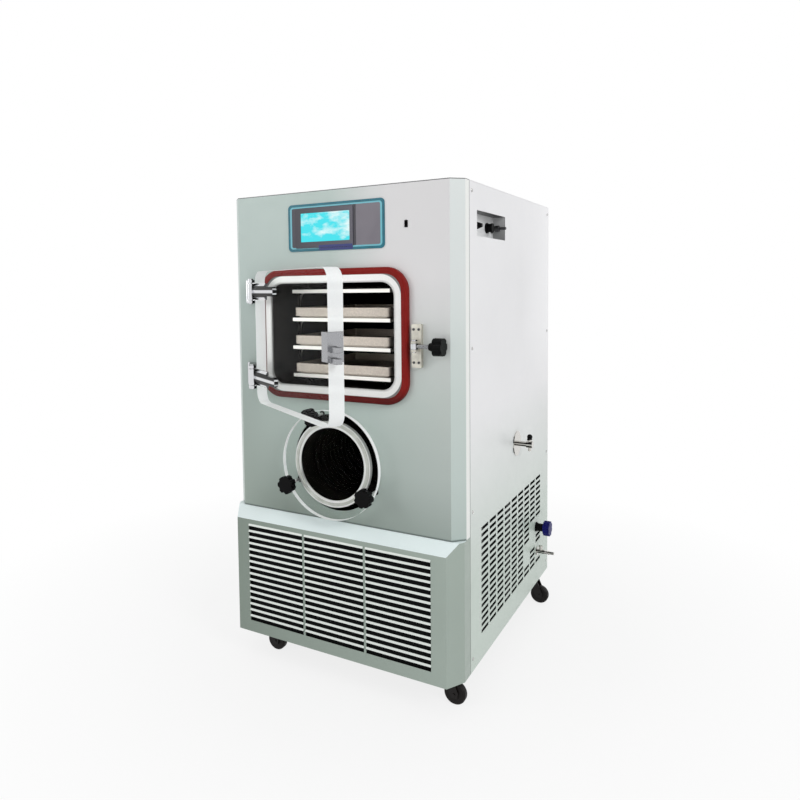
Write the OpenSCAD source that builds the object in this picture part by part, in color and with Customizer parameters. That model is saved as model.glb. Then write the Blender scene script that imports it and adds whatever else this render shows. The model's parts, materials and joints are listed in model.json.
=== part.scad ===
// Freeze dryer: a floor-standing cabinet with a shelf chamber behind a clear hinged door,
// a condenser pot with a clamped clear cover below it, and the cooling machinery in the base.
// Millimetres. The origin is the centre of the cabinet's underside, +Z is up, -Y is the front.

/* [Cabinet] */
// Width of the flat front face, between the two corner bevels
face_w = 670; // [620:5:840]
// Size of the bevel at each front corner
bevel = 30; // [20:1:40]
// Depth of the cabinet, front panel to rear panel
body_d = 860; // [740:5:1040]
// Height of the cabinet without its casters
body_h = 1300; // [1240:5:1560]
// Thickness of the cabinet's sheet metal
sheet_t = 2; // [1.5:0.5:3]
// Depth of the front panel's side strip, behind the bevel
corner_strip = 26; // [20:1:40]
// Gap at the seams between neighbouring panels
seam = 1; // [0.5:0.1:2]
// Width of the frame's square tubes
tube_w = 30; // [25:1:40]
// Wall of the frame's square tubes
tube_wall = 2.5; // [2:0.5:4]

/* [Base] */
// Height of the base's front face
plinth_h = 344; // [330:1:360]
// Rise of the sloping ledge on top of it
ledge_rise = 28; // [15:1:40]
// How far the base stands out in front of the cabinet
plinth_reach = 38; // [20:1:60]
// Length of one front grille slot
grille_slot_w = 191; // [120:1:195]
// Height of one front grille slot
grille_slot_h = 12.5; // [6:0.5:14]
// Height from one grille slot to the next
grille_pitch = 18.5; // [16:0.5:22]
// Height of the lowest grille slot's centre
grille_z0 = 41; // [36:1:60]
// How far each grille hood stands out
hood_reach = 2; // [1:0.5:6]

/* [Side louvres] */
// Length of one side slot
louvre_w = 58; // [30:1:62]
// Height of one side slot
louvre_h = 10; // [6:0.5:12]
// Distance from one side column to the next
louvre_pitch_y = 69.5; // [64:0.5:80]
// Height from one side slot to the next
louvre_pitch_z = 18; // [15:0.5:22]
// Height of the lowest side slot's centre
louvre_z0 = 78; // [60:1:110]

/* [Casters] */
// Height of the casters, floor to cabinet
caster_h = 87; // [75:1:100]
// Diameter of a caster wheel
wheel_d = 60; // [50:1:66]
// Width of a caster wheel
wheel_w = 22; // [16:1:28]
// Distance from the swivel axis to the wheel's axle
caster_trail = 33; // [28:1:40]
// Distance of the front swivels from the cabinet's middle, sideways
caster_x = 292; // [230:1:296]
// Distance of the rear swivels from the cabinet's middle, sideways
caster_rear_x = 332; // [280:1:334]
// Distance of the front swivels behind the front panel
caster_front = 52; // [40:1:90]
// Distance of the rear swivels in front of the rear panel
caster_rear = 102; // [70:1:180]

/* [Chamber] */
// Sideways place of the chamber
chamber_x = -7; // [-20:1:20]
// Height of the chamber's middle
chamber_z = 900; // [892:1:906]
// Width of the chamber's opening
chamber_w = 382; // [370:1:400]
// Height of the chamber's opening
chamber_h = 287; // [282:1:300]
// Depth of the chamber, from its flange to its back wall
chamber_d = 420; // [400:1:520]
// Corner radius of the chamber
chamber_r = 38; // [25:1:50]
// Wall of the chamber
chamber_wall = 3; // [2:0.5:5]
// Width of the chamber's flange
flange_w = 24; // [18:1:30]
// Thickness of the flange
flange_t = 13; // [8:1:13]
// How far the flange stands out in front of the panel
flange_reach = 14; // [14:1:28]
// Width of the door gasket
gasket_w = 15; // [8:1:17]
// How far the gasket stands out past the flange
gasket_lip = 3; // [1:0.5:5]

/* [Shelves] */
// Width of a shelf
shelf_w = 304; // [280:1:310]
// Depth of a shelf
shelf_d = 352; // [300:1:360]
// Thickness of a shelf
shelf_t = 10; // [8:1:16]
// Distance of the shelves to the right of the chamber's middle
shelf_shift = 15; // [0:1:20]
// Height from one shelf to the next
shelf_pitch = 80; // [76:1:82]
// Height of the lowest shelf above the chamber's floor
shelf_lift = 19; // [17:1:24]
// Height of a tray
tray_h = 24; // [20:1:40]
// Wall of a tray
tray_wall = 1.5; // [1:0.5:3]
// Diameter of a rack post
post_d = 8; // [6:1:10]

/* [Door] */
// Thickness of the clear door
door_t = 40; // [28:1:44]
// Overlap of the door past the gasket
door_overlap = 2; // [1:1:10]
// Height of the door beyond its seal and its overlaps
door_skirt = 5; // [0:1:10]
// How far the door's middle hangs below the chamber's
door_drop = 8.5; // [0:0.5:9]
// Angle at which the door stands open
door_open = 32; // [5:1:90]
// Distance of the hinge axis past the door's edge
hinge_offset = 2; // [1:0.5:6]
// Distance from the hinge axis to the middle of its bracket
bracket_offset = 47; // [44:1:60]
// Height of one hinge
hinge_h = 66; // [60:1:90]
// Distance of each hinge from the chamber's middle
hinge_spread = 122; // [90:1:140]
// Radius of the hinge and latch pins
pin_r = 5; // [4:0.5:6]
// Radial clearance of a pin in its bore
pin_gap = 0.05; // [0.02:0.01:0.1]
// Length of a hinge arm past the hinge axis
arm_len = 165; // [150:1:220]
// Distance of the latch's pin in front of the panel
latch_reach = 27; // [24:1:34]

/* [Condenser] */
// Sideways place of the condenser pot
port_x = -6; // [-20:1:20]
// Height of the condenser pot's axis
port_z = 541; // [528:1:545]
// Inner radius of the pot
pot_r = 102; // [92:1:104]
// Wall of the pot
pot_wall = 3; // [2:0.5:4]
// Depth of the pot
pot_d = 430; // [400:1:500]
// Width of the pot's rim
rim_w = 19; // [14:1:22]
// How far the rim stands out in front of the panel
rim_reach = 25; // [20:1:30]
// Radius of the hole in the panel round the pot
port_hole_r = 137; // [134:1:142]
// Radius of the clear cover
cover_r = 153; // [151:1:156]
// Thickness of the clear cover
cover_t = 15; // [10:1:20]
// Radius of the circle of cover studs
stud_pcd_r = 140; // [138:1:142]
// Radius of a cover stud
stud_r = 4; // [3:0.5:5]
// Turn of the stud pattern
stud_turn = 0; // [-4:1:4]
// Outer diameter of a cover knob
knob_d = 50; // [40:1:54]

/* [Fittings] */
// Width of the display surround
display_w = 307; // [290:1:330]
// Height of the display surround
display_h = 132; // [120:1:140]
// Height of the display's middle
display_z = 1199; // [1188:1:1212]
// Diameter of the star knob on the door latch
latch_grip_d = 46; // [36:1:50]
// Depth of the service pocket
pocket_d = 34; // [25:1:45]
// Length of the service pocket
pocket_w = 242; // [240:1:280]
// Height of the service pocket
pocket_h = 68; // [60:1:90]
// Bore radius of the vacuum port
vacuum_r = 12; // [8:0.5:14]

/* [Hidden] */
$fn = 64;

// Clearance that leaves two neighbouring pieces just apart
seat = 0.3;
// Overhang that carries a cut clean through a face
cut = 1;

// Cabinet outline
half_w = face_w / 2 + bevel;
front_y = -body_d / 2;
rear_y = body_d / 2;
bevel_y = front_y + bevel;
strip_y = bevel_y + corner_strip;
side_y = strip_y + seam;
plinth_y = front_y - plinth_reach;
plinth_side_y = front_y + bevel / 2;
ledge_z = plinth_h + ledge_rise;
front_z = ledge_z + seam;
lid_z = body_h - sheet_t;
side_rear_y = rear_y - sheet_t - seat;

// Frame
post_x = half_w - sheet_t - seat - tube_w / 2;
post_front_y = side_y + tube_w / 2 + 4;
post_rear_y = side_rear_y - sheet_t - seat - tube_w / 2;
frame_top = lid_z - 8;
toe_t = 3;
pad_t = 1.5;
fork_plate_t = 4;
caster_plate_w = 60;
caster_plate_d = 52;
swivel_y = [front_y + caster_front, rear_y - caster_rear];
swivels = [[-caster_x, swivel_y[0]], [caster_x, swivel_y[0]],
    [-caster_rear_x, swivel_y[1]], [caster_rear_x, swivel_y[1]]];

// Panel screws: a head on the panel and a shank into the frame's post
screw_r = 2.4;
screw_gap = 0.1;
screw_head_r = 5;
screw_head_t = 2.5;
screw_len = 8;
screw_zs = [34, body_h / 3, body_h * 2 / 3, body_h - 26];
screw_ys = [post_front_y, post_rear_y];
rear_screw_xs = [-post_x, post_x];

// Chamber: the flange's face, the openings and the gasket round it
flange_y = front_y - flange_reach;
flange_out_w = chamber_w + 2 * flange_w;
flange_out_h = chamber_h + 2 * flange_w;
flange_out_r = chamber_r + flange_w / 2;
gasket_out_w = flange_out_w + 2 * seat + 2 * gasket_w;
gasket_out_h = flange_out_h + 2 * seat + 2 * gasket_w;
gasket_y = flange_y - gasket_lip;
chamber_floor = chamber_z - chamber_h / 2;
chamber_back = flange_y + chamber_d;
chamber_out_w = chamber_w + 2 * chamber_wall;
chamber_out_h = chamber_h + 2 * chamber_wall;
vapour_r = 34;
vapour_y = chamber_back - 70;
vapour_wall = 3;
rail_ys = [front_y + 150, chamber_back - tube_w / 2];

// Shelves, on collars on the rack's posts
shelf_y = front_y + 12;
shelf_z = [for (i = [0:3]) chamber_floor + shelf_lift + i * shelf_pitch];
rack_x = shelf_w / 2 + post_d / 2 + 0.5;
shelf_x = chamber_x + shelf_shift;
rack_ys = [shelf_y + 40, shelf_y + shelf_d - 40];
collar_h = 5;
collar_r = post_d / 2 + 3;
tray_w = shelf_w - 8;
tray_foot_t = 4.5;
tray_foot_in = 8;
tray_d = shelf_d - 14;
tray_y = shelf_y + 4;
hose_y = shelf_y + 110;
hose_r = 4;
hose_x = -shelf_w / 2 - 24;

// Door, drawn shut and then swung open about the hinge axis
door_w = gasket_out_w + 2 * door_overlap;
door_h = gasket_out_h + 2 * door_overlap + door_skirt;
door_r = 34;
door_in_y = gasket_y - seat;
door_out_y = door_in_y - door_t;
door_left = chamber_x - door_w / 2;
door_right = chamber_x + door_w / 2;
hinge_x = door_left - hinge_offset;
knuckle_r = pin_r + 6;
hinge_y = door_out_y - knuckle_r - 1;
hinge_zs = [chamber_z - hinge_spread, chamber_z + hinge_spread];
ear_t = 8;
arm_h = hinge_h - 2 * ear_t - 4;
arm_t = 12;
arm_bulge = 8;
arm_tip_h = 26;
bracket_w = 38;
bracket_t = 6;
bracket_screw_r = 4;

// Latch: a block on the panel, and a bolt that swings on a pin
latch_x = door_right + 22;
latch_z = chamber_z - 23;
latch_y = front_y - latch_reach;
latch_block_w = 27;
latch_block_h = 113;
latch_block_t = 13.5;
latch_ear_t = 6;
latch_eye_h = 14;
latch_eye_r = pin_r + 5;
bolt_r = 5;
bolt_l = 76;
knob_neck_at = 42;
knob_neck_l = 13;
knob_grip_l = 26;
fork_t = 16;
fork_h = 70;
fork_z = latch_z + 18;
fork_lap = 26;
fork_slot = 2 * bolt_r + 3;
fork_prong = 13;
fork_base_t = 4;

// Condenser pot and its cover
rim_y = front_y - rim_reach;
rim_r = pot_r + rim_w;
rim_t = 12;
port_gasket_t = 2;
cover_y = rim_y - port_gasket_t - seat;
stud_angles = [for (a = [105, 207, 331]) a + stud_turn];
lug_t = 20;
lug_y = front_y + 8;
knob_neck_t = 14;
knob_t = 20;
knob_y = cover_y - cover_t - seat;
coil_r = 5;
coil_turn_r = pot_r - coil_r - 3;
coil_pitch = 22;
coil_turns = 12;

// Right-hand fittings, measured behind the front panel
pocket_y = front_y + 115 + pocket_w / 2;
pocket_z = 1194;
pocket_x = half_w - sheet_t - seat;
pocket_wall = 1.5;
pocket_back = pocket_x - pocket_d;
gas_y = front_y + 475;
gas_z = 537;
drain_y = front_y + 705;
drain_z = 200;
tap_y = front_y + 716;
tap_z = 112;
louvre_y0 = front_y + 145 + louvre_w / 2;
louvre_cols = 9;
louvre_rows = 17;
grille_cols = 3;
grille_rows = 16;
grille_gap = 6.5;
// Unpunched pads on the right louvre: [distance behind the front, height, radius]
pads = [[648, 190, 38], [585, 138, 24], [705, drain_z, 26], [716, tap_z, 24]];
pipe_hole_gap = 1;

// Sight and service pieces on the front
screen_x = -35;
screen_z = display_z - 2;
screen_w = 187;
screen_h = 110;
screen_d = 38;
screen_view_w = 158;
screen_view_h = 80;
screen_view_x = 4;
screen_view_z = 2;
usb_x = 215;
usb_z = 1193;
usb_w = 9;
usb_h = 19;
usb_bezel = 1.5;

// Pipe radii of the right-hand fittings
gas_pipe_r = 8;
drain_pipe_r = 9;
tap_pipe_r = 7;
tap_end_r = 5;
pocket_hole_r = 5;
pocket_fitting_ys = [pocket_y - 44, pocket_y + 61, pocket_y + 104];

// Rear fittings
inlet_w = 50;
inlet_h = 30;
vacuum_x = port_x;
vacuum_z = port_z;
vacuum_wall = 2;
vacuum_flange_r = 20;
vacuum_out = 32;
inlet_x = -240;
inlet_z = 160;

// Machinery in the base
fan_r = 105;
fan_x = -150;
fan_z = 190;
fan_y = front_y + 125;
compressor_x = 170;
compressor_y = 120;

// ---- Shared shapes ----

function unit(v) = v / norm(v);
function left_of(v) = [-v.y, v.x];

// A path moved sideways by t, to its left, with mitred corners
function inset(p, t) =
    [for (i = [0:len(p) - 1])
        let (n = len(p) - 1,
             a = left_of(unit(p[min(i + 1, n)] - p[min(i, n - 1)])),
             b = left_of(unit(p[max(i, 1)] - p[max(i - 1, 0)])))
        p[i] + t * (a + b) / (1 + a * b)];

// A bent sheet's section: the path and the same path moved by the sheet's thickness
module sheet_section(path, t) {
    in = inset(path, t);
    polygon(concat(path, [for (i = [len(in) - 1:-1:0]) in[i]]));
}

// Outline of the cabinet's front, from the left side strip round to the right one
front_path = [[-half_w, strip_y], [-half_w, bevel_y], [-face_w / 2, front_y],
    [face_w / 2, front_y], [half_w, bevel_y], [half_w, strip_y]];
plinth_path = [[-half_w, strip_y], [-half_w, plinth_side_y], [-face_w / 2, plinth_y],
    [face_w / 2, plinth_y], [half_w, plinth_side_y], [half_w, strip_y]];

module rounded_rect(w, h, r) {
    square([w - 2 * r, h], center = true);
    square([w, h - 2 * r], center = true);
    for (x = [-1, 1], z = [-1, 1])
        translate([x * (w / 2 - r), z * (h / 2 - r)]) circle(r);
}

// A rounded plate facing the front: its front face lies at y, and it runs back by t
module front_slab(w, h, r, y, t) {
    translate([0, y + t, 0]) rotate([90, 0, 0]) linear_extrude(t) rounded_rect(w, h, r);
}

// Cylinders along the other axes, starting at the origin
module rod_x(r, l) {
    rotate([0, 90, 0]) cylinder(r = r, h = l);
}
module rod_y(r, l) {
    rotate([-90, 0, 0]) cylinder(r = r, h = l);
}

// A fluted grip along +Z with a bore up to its end wall
module star_grip(d, h, lobes) {
    flute_r = d * 0.13;
    difference() {
        cylinder(d = d, h = h);
        for (i = [0:lobes - 1])
            rotate([0, 0, 360 * i / lobes])
                translate([d / 2 + flute_r * 0.45, 0, -cut]) cylinder(r = flute_r, h = h + 2 * cut);
    }
}

module in_chamber() {
    translate([chamber_x, 0, chamber_z]) children();
}

module swung(open) {
    translate([hinge_x, hinge_y, 0]) rotate([0, 0, -open]) translate([-hinge_x, -hinge_y, 0])
        children();
}

// ---- Cabinet ----

module tube_x(x0, x1, y, z) {
    translate([x0, y - tube_w / 2, z]) difference() {
        cube([x1 - x0, tube_w, tube_w]);
        translate([-cut, tube_wall, tube_wall])
            cube([x1 - x0 + 2 * cut, tube_w - 2 * tube_wall, tube_w - 2 * tube_wall]);
    }
}

module tube_y(x, y0, y1, z) {
    translate([x - tube_w / 2, y0, z]) difference() {
        cube([tube_w, y1 - y0, tube_w]);
        translate([tube_wall, -cut, tube_wall])
            cube([tube_w - 2 * tube_wall, y1 - y0 + 2 * cut, tube_w - 2 * tube_wall]);
    }
}

module tube_z(x, y, z0, z1) {
    translate([x - tube_w / 2, y - tube_w / 2, z0]) difference() {
        cube([tube_w, tube_w, z1 - z0]);
        translate([tube_wall, tube_wall, -cut])
            cube([tube_w - 2 * tube_wall, tube_w - 2 * tube_wall, z1 - z0 + 2 * cut]);
    }
}

// Shanks of the panel screws, and the holes they pass through
module screw_shanks(r) {
    for (z = screw_zs) {
        for (y = screw_ys, side = [-1, 1])
            translate([side * half_w, y, z]) rotate([0, side * -90, 0])
                cylinder(r = r, h = screw_len);
        for (x = rear_screw_xs)
            translate([x, rear_y, z]) rotate([90, 0, 0]) cylinder(r = r, h = screw_len);
    }
}

module base_frame() {
    inner = post_x - tube_w / 2;
    outer = post_x + tube_w / 2;
    toe_path = inset(plinth_path, sheet_t + seat + 1);
    pan_lap = 1.5;
    carrier_t = 4;
    carrier_w = 14;
    color("dimgray") difference() {
        union() {
            for (x = [-post_x, post_x]) {
                for (y = screw_ys)
                    tube_z(x, y, 0, frame_top);
                for (z = [0, chamber_floor - chamber_wall - seat - 2 * tube_w, frame_top - tube_w])
                    tube_y(x, post_front_y + tube_w / 2, post_rear_y - tube_w / 2, z);
            }
            for (y = screw_ys, z = [0, frame_top - tube_w])
                tube_x(-inner, inner, y, z);
            // Rails over the casters, under the pot and under the chamber
            for (y = [swivel_y[0], 0, swivel_y[1]])
                if (y > post_front_y + tube_w && y < post_rear_y - tube_w)
                    tube_x(-inner, inner, y, 0);
            for (y = rail_ys) {
                tube_x(-outer, outer, y, chamber_floor - chamber_wall - seat - tube_w);
                tube_x(-inner, inner, y, port_z - pot_r - pot_wall - seat - tube_w);
                for (x = [-post_x, post_x])
                    tube_z(x, y, tube_w, chamber_floor - chamber_wall - seat - 2 * tube_w);
            }
            // Floor pan, and the toe plate that carries the base's front
            translate([-inner - pan_lap, post_front_y - tube_w / 2, tube_w])
                cube([2 * (inner + pan_lap), post_rear_y - post_front_y + tube_w, sheet_t]);
            linear_extrude(toe_t) polygon(concat(toe_path,
                [[toe_path[5].x, post_front_y], [toe_path[0].x, post_front_y]]));
            // Weld plates that the casters are bolted under
            for (p = swivels)
                translate([p.x - caster_plate_w / 2 - seat, p.y - caster_plate_d / 2 - seat, -pad_t])
                    cube([caster_plate_w + 2 * seat, caster_plate_d + 2 * seat, pad_t]);
            // Carrier strips behind the seams of the side panels
            for (x = [-outer, outer - carrier_t])
                translate([x, strip_y - carrier_w, 0])
                    cube([carrier_t, post_front_y - strip_y + carrier_w, frame_top]);
        }
        screw_shanks(screw_r + screw_gap);
    }
}

module front_panel() {
    color([0.73, 0.79, 0.77]) difference() {
        translate([0, 0, front_z]) linear_extrude(lid_z - seat - front_z)
            sheet_section(front_path, sheet_t);
        in_chamber() front_slab(chamber_out_w + 4, chamber_out_h + 4, chamber_r, front_y - cut,
            sheet_t + 2 * cut);
        translate([port_x, front_y - cut, port_z]) {
            rod_y(port_hole_r, sheet_t + 2 * cut);
            for (a = stud_angles) rotate([0, -a, 0])
                translate([stud_pcd_r, 0, 0]) rod_y(stud_r + 5, sheet_t + 2 * cut);
        }
        translate([screen_x, 0, screen_z])
            front_slab(screen_w - 12, screen_h - 12, 3, front_y - cut, sheet_t + 2 * cut);
        translate([usb_x, 0, usb_z])
            front_slab(usb_w - 2 * usb_bezel + 2 * seat, usb_h - 2 * usb_bezel + 2 * seat, 1 + seat,
                front_y - cut, sheet_t + 2 * cut);
    }
}

// Outline of the base, from the front up over the ledge
module plinth_body(t) {
    foot = t > 0 ? -cut : 0;
    path = [[plinth_y, -cut], [plinth_y, plinth_h], [front_y, ledge_z], [strip_y + cut, ledge_z]];
    in = inset(path, -t);
    intersection() {
        translate([0, 0, foot]) linear_extrude(ledge_z - t - foot)
            polygon(concat(inset(plinth_path, t), [[half_w - t, strip_y + cut],
                [-half_w + t, strip_y + cut]]));
        translate([-half_w - cut, 0, 0]) rotate([90, 0, 90]) linear_extrude(2 * half_w + 2 * cut)
            polygon(concat(in, [[strip_y + cut, -cut]]));
    }
}

module plinth_grille() {
    grille_w = grille_cols * grille_slot_w + (grille_cols - 1) * grille_gap;
    module each_slot() {
        for (i = [0:grille_cols - 1], j = [0:grille_rows - 1])
            translate([-grille_w / 2 + i * (grille_slot_w + grille_gap), plinth_y,
                grille_z0 + j * grille_pitch]) children();
    }
    color([0.62, 0.68, 0.64]) {
        difference() {
            plinth_body(0);
            plinth_body(sheet_t);
            translate([0, 0, ledge_z - 2 * sheet_t]) linear_extrude(3 * sheet_t)
                polygon(inset(front_path, sheet_t));
            translate([-half_w - cut, strip_y, -cut])
                cube([2 * half_w + 2 * cut, 3 * cut, ledge_z + 2 * cut]);
            each_slot() translate([0, -cut, -grille_slot_h / 2])
                cube([grille_slot_w, sheet_t + 2 * cut, grille_slot_h]);
        }
        each_slot() translate([0, 0, grille_slot_h / 2]) rotate([90, 0, 90])
            linear_extrude(grille_slot_w)
                polygon([[sheet_t / 2, grille_pitch - grille_slot_h - seat],
                    [0, grille_pitch - grille_slot_h - seat], [-hood_reach, 0], [sheet_t / 2, 0]]);
    }
}

module louvre_slots(spared) {
    for (i = [0:louvre_cols - 1], j = [0:louvre_rows - 1]) {
        y = louvre_y0 + i * louvre_pitch_y;
        z = louvre_z0 + j * louvre_pitch_z;
        near = [for (p = spared) if (norm([y - front_y - p[0], z - p[1]]) < p[2] + 10) 1];
        if (len(near) == 0)
            translate([y - louvre_w / 2, z - louvre_h / 2]) square([louvre_w, louvre_h]);
    }
}

// A side panel: a sheet with its rear edge folded inwards
module side_sheet(side, spared) {
    translate([side > 0 ? half_w - sheet_t : -half_w, 0, 0]) rotate([90, 0, 90])
        linear_extrude(sheet_t) difference() {
            translate([side_y, 0]) square([side_rear_y - side_y, lid_z - seat]);
            louvre_slots(spared);
        }
    translate([side > 0 ? half_w - 16 : -half_w + sheet_t, side_rear_y - sheet_t, 0])
        cube([16 - sheet_t, sheet_t, lid_z - seat]);
}

module left_panel() {
    color([0.88, 0.88, 0.89]) difference() {
        side_sheet(-1, []);
        screw_shanks(screw_r + screw_gap);
    }
}

module right_panel() {
    color([0.88, 0.88, 0.89]) difference() {
        side_sheet(1, pads);
        screw_shanks(screw_r + screw_gap);
        translate([half_w - 3 * sheet_t, pocket_y - pocket_w / 2, pocket_z - pocket_h / 2])
            cube([4 * sheet_t, pocket_w, pocket_h]);
        translate([half_w - 3 * sheet_t, gas_y, gas_z]) rod_x(gas_pipe_r + pipe_hole_gap, 4 * sheet_t);
        translate([half_w - 3 * sheet_t, drain_y, drain_z])
            rod_x(drain_pipe_r + pipe_hole_gap, 4 * sheet_t);
        translate([half_w - 3 * sheet_t, tap_y, tap_z]) rod_x(tap_pipe_r + pipe_hole_gap, 4 * sheet_t);
    }
}

module rear_panel() {
    color([0.88, 0.88, 0.89]) difference() {
        translate([-half_w, rear_y - sheet_t, 0]) cube([2 * half_w, sheet_t, lid_z - seat]);
        screw_shanks(screw_r + screw_gap);
        translate([vacuum_x, rear_y - 2 * sheet_t, vacuum_z])
            rod_y(vacuum_r + vacuum_wall + pipe_hole_gap, 3 * sheet_t);
        translate([inlet_x, rear_y, inlet_z])
            cube([inlet_w - 6, 4 * sheet_t, inlet_h - 6], center = true);
        for (x = [-110, 110], j = [0:8], z = [230, 980])
            translate([x - 90, rear_y - 2 * sheet_t, z + j * 20]) cube([180, 3 * sheet_t, 9]);
    }
}

module top_panel() {
    color([0.80, 0.83, 0.83]) translate([0, 0, lid_z]) linear_extrude(sheet_t)
        polygon([[-half_w, rear_y], [-half_w, bevel_y], [-face_w / 2, front_y],
            [face_w / 2, front_y], [half_w, bevel_y], [half_w, rear_y]]);
}

// Domed heads on the panels and shanks into the frame
module panel_screws() {
    module screw() {
        cylinder(r = screw_r, h = screw_len);
        translate([0, 0, -screw_head_t]) cylinder(r1 = screw_head_r * 0.6, r2 = screw_head_r,
            h = screw_head_t);
    }
    color("gainsboro") for (z = screw_zs) {
        for (y = screw_ys, side = [-1, 1])
            translate([side * half_w, y, z]) rotate([0, side * -90, 0]) screw();
        for (x = rear_screw_xs)
            translate([x, rear_y, z]) rotate([90, 0, 0]) screw();
    }
}

// ---- Controls ----

module display_panel() {
    color([0.10, 0.45, 0.50]) difference() {
        translate([0, 0, display_z]) front_slab(display_w, display_h, 12, front_y - 2, 2);
        translate([screen_x, 0, screen_z])
            front_slab(screen_w + 2 * seat, screen_h + 2 * seat, 5, front_y - 2 - cut, 2 + 2 * cut);
    }
}

module touch_screen() {
    color([0.15, 0.16, 0.18]) translate([screen_x, 0, screen_z]) difference() {
        union() {
            front_slab(screen_w, screen_h, 5, front_y - 4, 4);
            front_slab(screen_w - 14, screen_h - 14, 3, front_y - cut, screen_d);
        }
        translate([screen_view_x, 0, screen_view_z])
            front_slab(screen_view_w, screen_view_h, 2, front_y - 4 - cut, 1 + cut);
    }
}

// An upright socket: a bezel on the panel, a body behind it and its slot
module usb_port() {
    color([0.12, 0.12, 0.13]) translate([usb_x, 0, usb_z]) difference() {
        union() {
            front_slab(usb_w, usb_h, 2, front_y - usb_bezel, usb_bezel);
            front_slab(usb_w - 2 * usb_bezel, usb_h - 2 * usb_bezel, 1, front_y - cut, 20);
        }
        front_slab(usb_w - 5, usb_h - 7, 0.5, front_y - usb_bezel - cut, 10);
    }
}

// ---- Chamber ----

module chamber() {
    color([0.86, 0.86, 0.84]) difference() {
        in_chamber() {
            front_slab(flange_out_w, flange_out_h, flange_out_r, flange_y, flange_t);
            front_slab(chamber_out_w, chamber_out_h, chamber_r + chamber_wall, flange_y + cut,
                chamber_d + chamber_wall - cut);
        }
        in_chamber() front_slab(chamber_w, chamber_h, chamber_r, flange_y - cut, chamber_d + cut);
        translate([port_x, vapour_y, chamber_floor - chamber_wall - cut])
            cylinder(r = vapour_r, h = chamber_wall + 2 * cut);
    }
}

// A ring that grips the flange's rim, with a lip over its face
module door_gasket() {
    lip_over = 3;
    color([0.52, 0.08, 0.07]) in_chamber() difference() {
        front_slab(gasket_out_w, gasket_out_h, flange_out_r + seat + gasket_w, gasket_y,
            front_y - gasket_y - seat);
        front_slab(flange_out_w + 2 * seat, flange_out_h + 2 * seat, flange_out_r + seat,
            flange_y - seat, front_y - flange_y + cut);
        front_slab(flange_out_w - 2 * lip_over, flange_out_h - 2 * lip_over,
            flange_out_r - lip_over, gasket_y - cut, gasket_lip + 2 * cut);
    }
}

module shelf_rack() {
    bar_t = 4;
    bar_w = 12;
    foot_lift = 10;
    top_z = shelf_z[3] + shelf_t + 2;
    hanger_x = shelf_w / 2 - 30;
    color([0.75, 0.75, 0.75]) translate([shelf_x, 0, 0]) {
        for (y = rack_ys) {
            for (x = [-rack_x, rack_x]) {
                translate([x, y, chamber_floor + foot_lift])
                    cylinder(d = post_d, h = top_z + bar_t - chamber_floor - foot_lift);
                for (z = shelf_z)
                    translate([x, y, z - seat - collar_h]) cylinder(r = collar_r, h = collar_h);
            }
            for (z = [chamber_floor + foot_lift, top_z])
                translate([-rack_x, y - bar_w / 2, z]) cube([2 * rack_x, bar_w, bar_t]);
            for (x = [-hanger_x, hanger_x]) {
                translate([x, y, chamber_floor + seat]) cylinder(r = 7, h = foot_lift);
                translate([x, y, top_z + cut])
                    cylinder(r = 4, h = chamber_floor + chamber_h - seat - top_z - cut);
            }
        }
    }
}

module shelf(i) {
    ear_x = rack_x + post_d / 2 + 3;
    ear_l = post_d + 12;
    color([0.80, 0.79, 0.77]) translate([shelf_x, 0, shelf_z[i - 1]]) difference() {
        union() {
            translate([-shelf_w / 2, shelf_y, 0]) cube([shelf_w, shelf_d, shelf_t]);
            for (y = rack_ys)
                translate([-ear_x, y - ear_l / 2, 0]) cube([2 * ear_x, ear_l, shelf_t / 2]);
        }
        for (x = [-rack_x, rack_x], y = rack_ys)
            translate([x, y, -cut]) cylinder(r = post_d / 2 + seat, h = shelf_t + 2 * cut);
    }
}

module tray(i) {
    r = 8;
    color([0.84, 0.80, 0.74])
        translate([shelf_x, tray_y + tray_d / 2, shelf_z[i - 1] + shelf_t + seat]) {
            linear_extrude(tray_foot_t + 0.5)
                rounded_rect(tray_w - 2 * tray_foot_in, tray_d - 2 * tray_foot_in, r);
            translate([0, 0, tray_foot_t]) difference() {
                linear_extrude(tray_h) rounded_rect(tray_w, tray_d, r);
                translate([0, 0, tray_wall]) linear_extrude(tray_h)
                    rounded_rect(tray_w - 2 * tray_wall, tray_d - 2 * tray_wall, r - tray_wall);
            }
        }
}

// Half loops between neighbouring shelves, a stub into each, and two feeds to the back wall
module shelf_hoses() {
    stub_x = hose_x - hose_r - 0.5;
    color([0.62, 0.60, 0.57]) translate([shelf_x, hose_y, shelf_t / 2]) {
        for (z = shelf_z)
            translate([stub_x, 0, z]) rod_x(hose_r + 1, -shelf_w / 2 - seat - stub_x);
        for (i = [0:2])
            translate([hose_x, 0, (shelf_z[i] + shelf_z[i + 1]) / 2]) rotate([0, 90, 0])
                rotate([0, 0, 180]) rotate_extrude(angle = 180)
                    translate([shelf_pitch / 2, 0]) circle(hose_r);
        for (z = [shelf_z[0], shelf_z[3]])
            translate([hose_x, 0, z]) rod_y(hose_r, chamber_back - hose_y - seat);
    }
}

// ---- Door and latch ----

module door_plate() {
    color([0.80, 0.86, 0.84, 0.4]) swung(door_open) in_chamber() translate([0, 0, -door_drop])
        front_slab(door_w, door_h, door_r, door_out_y, door_t);
}

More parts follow.
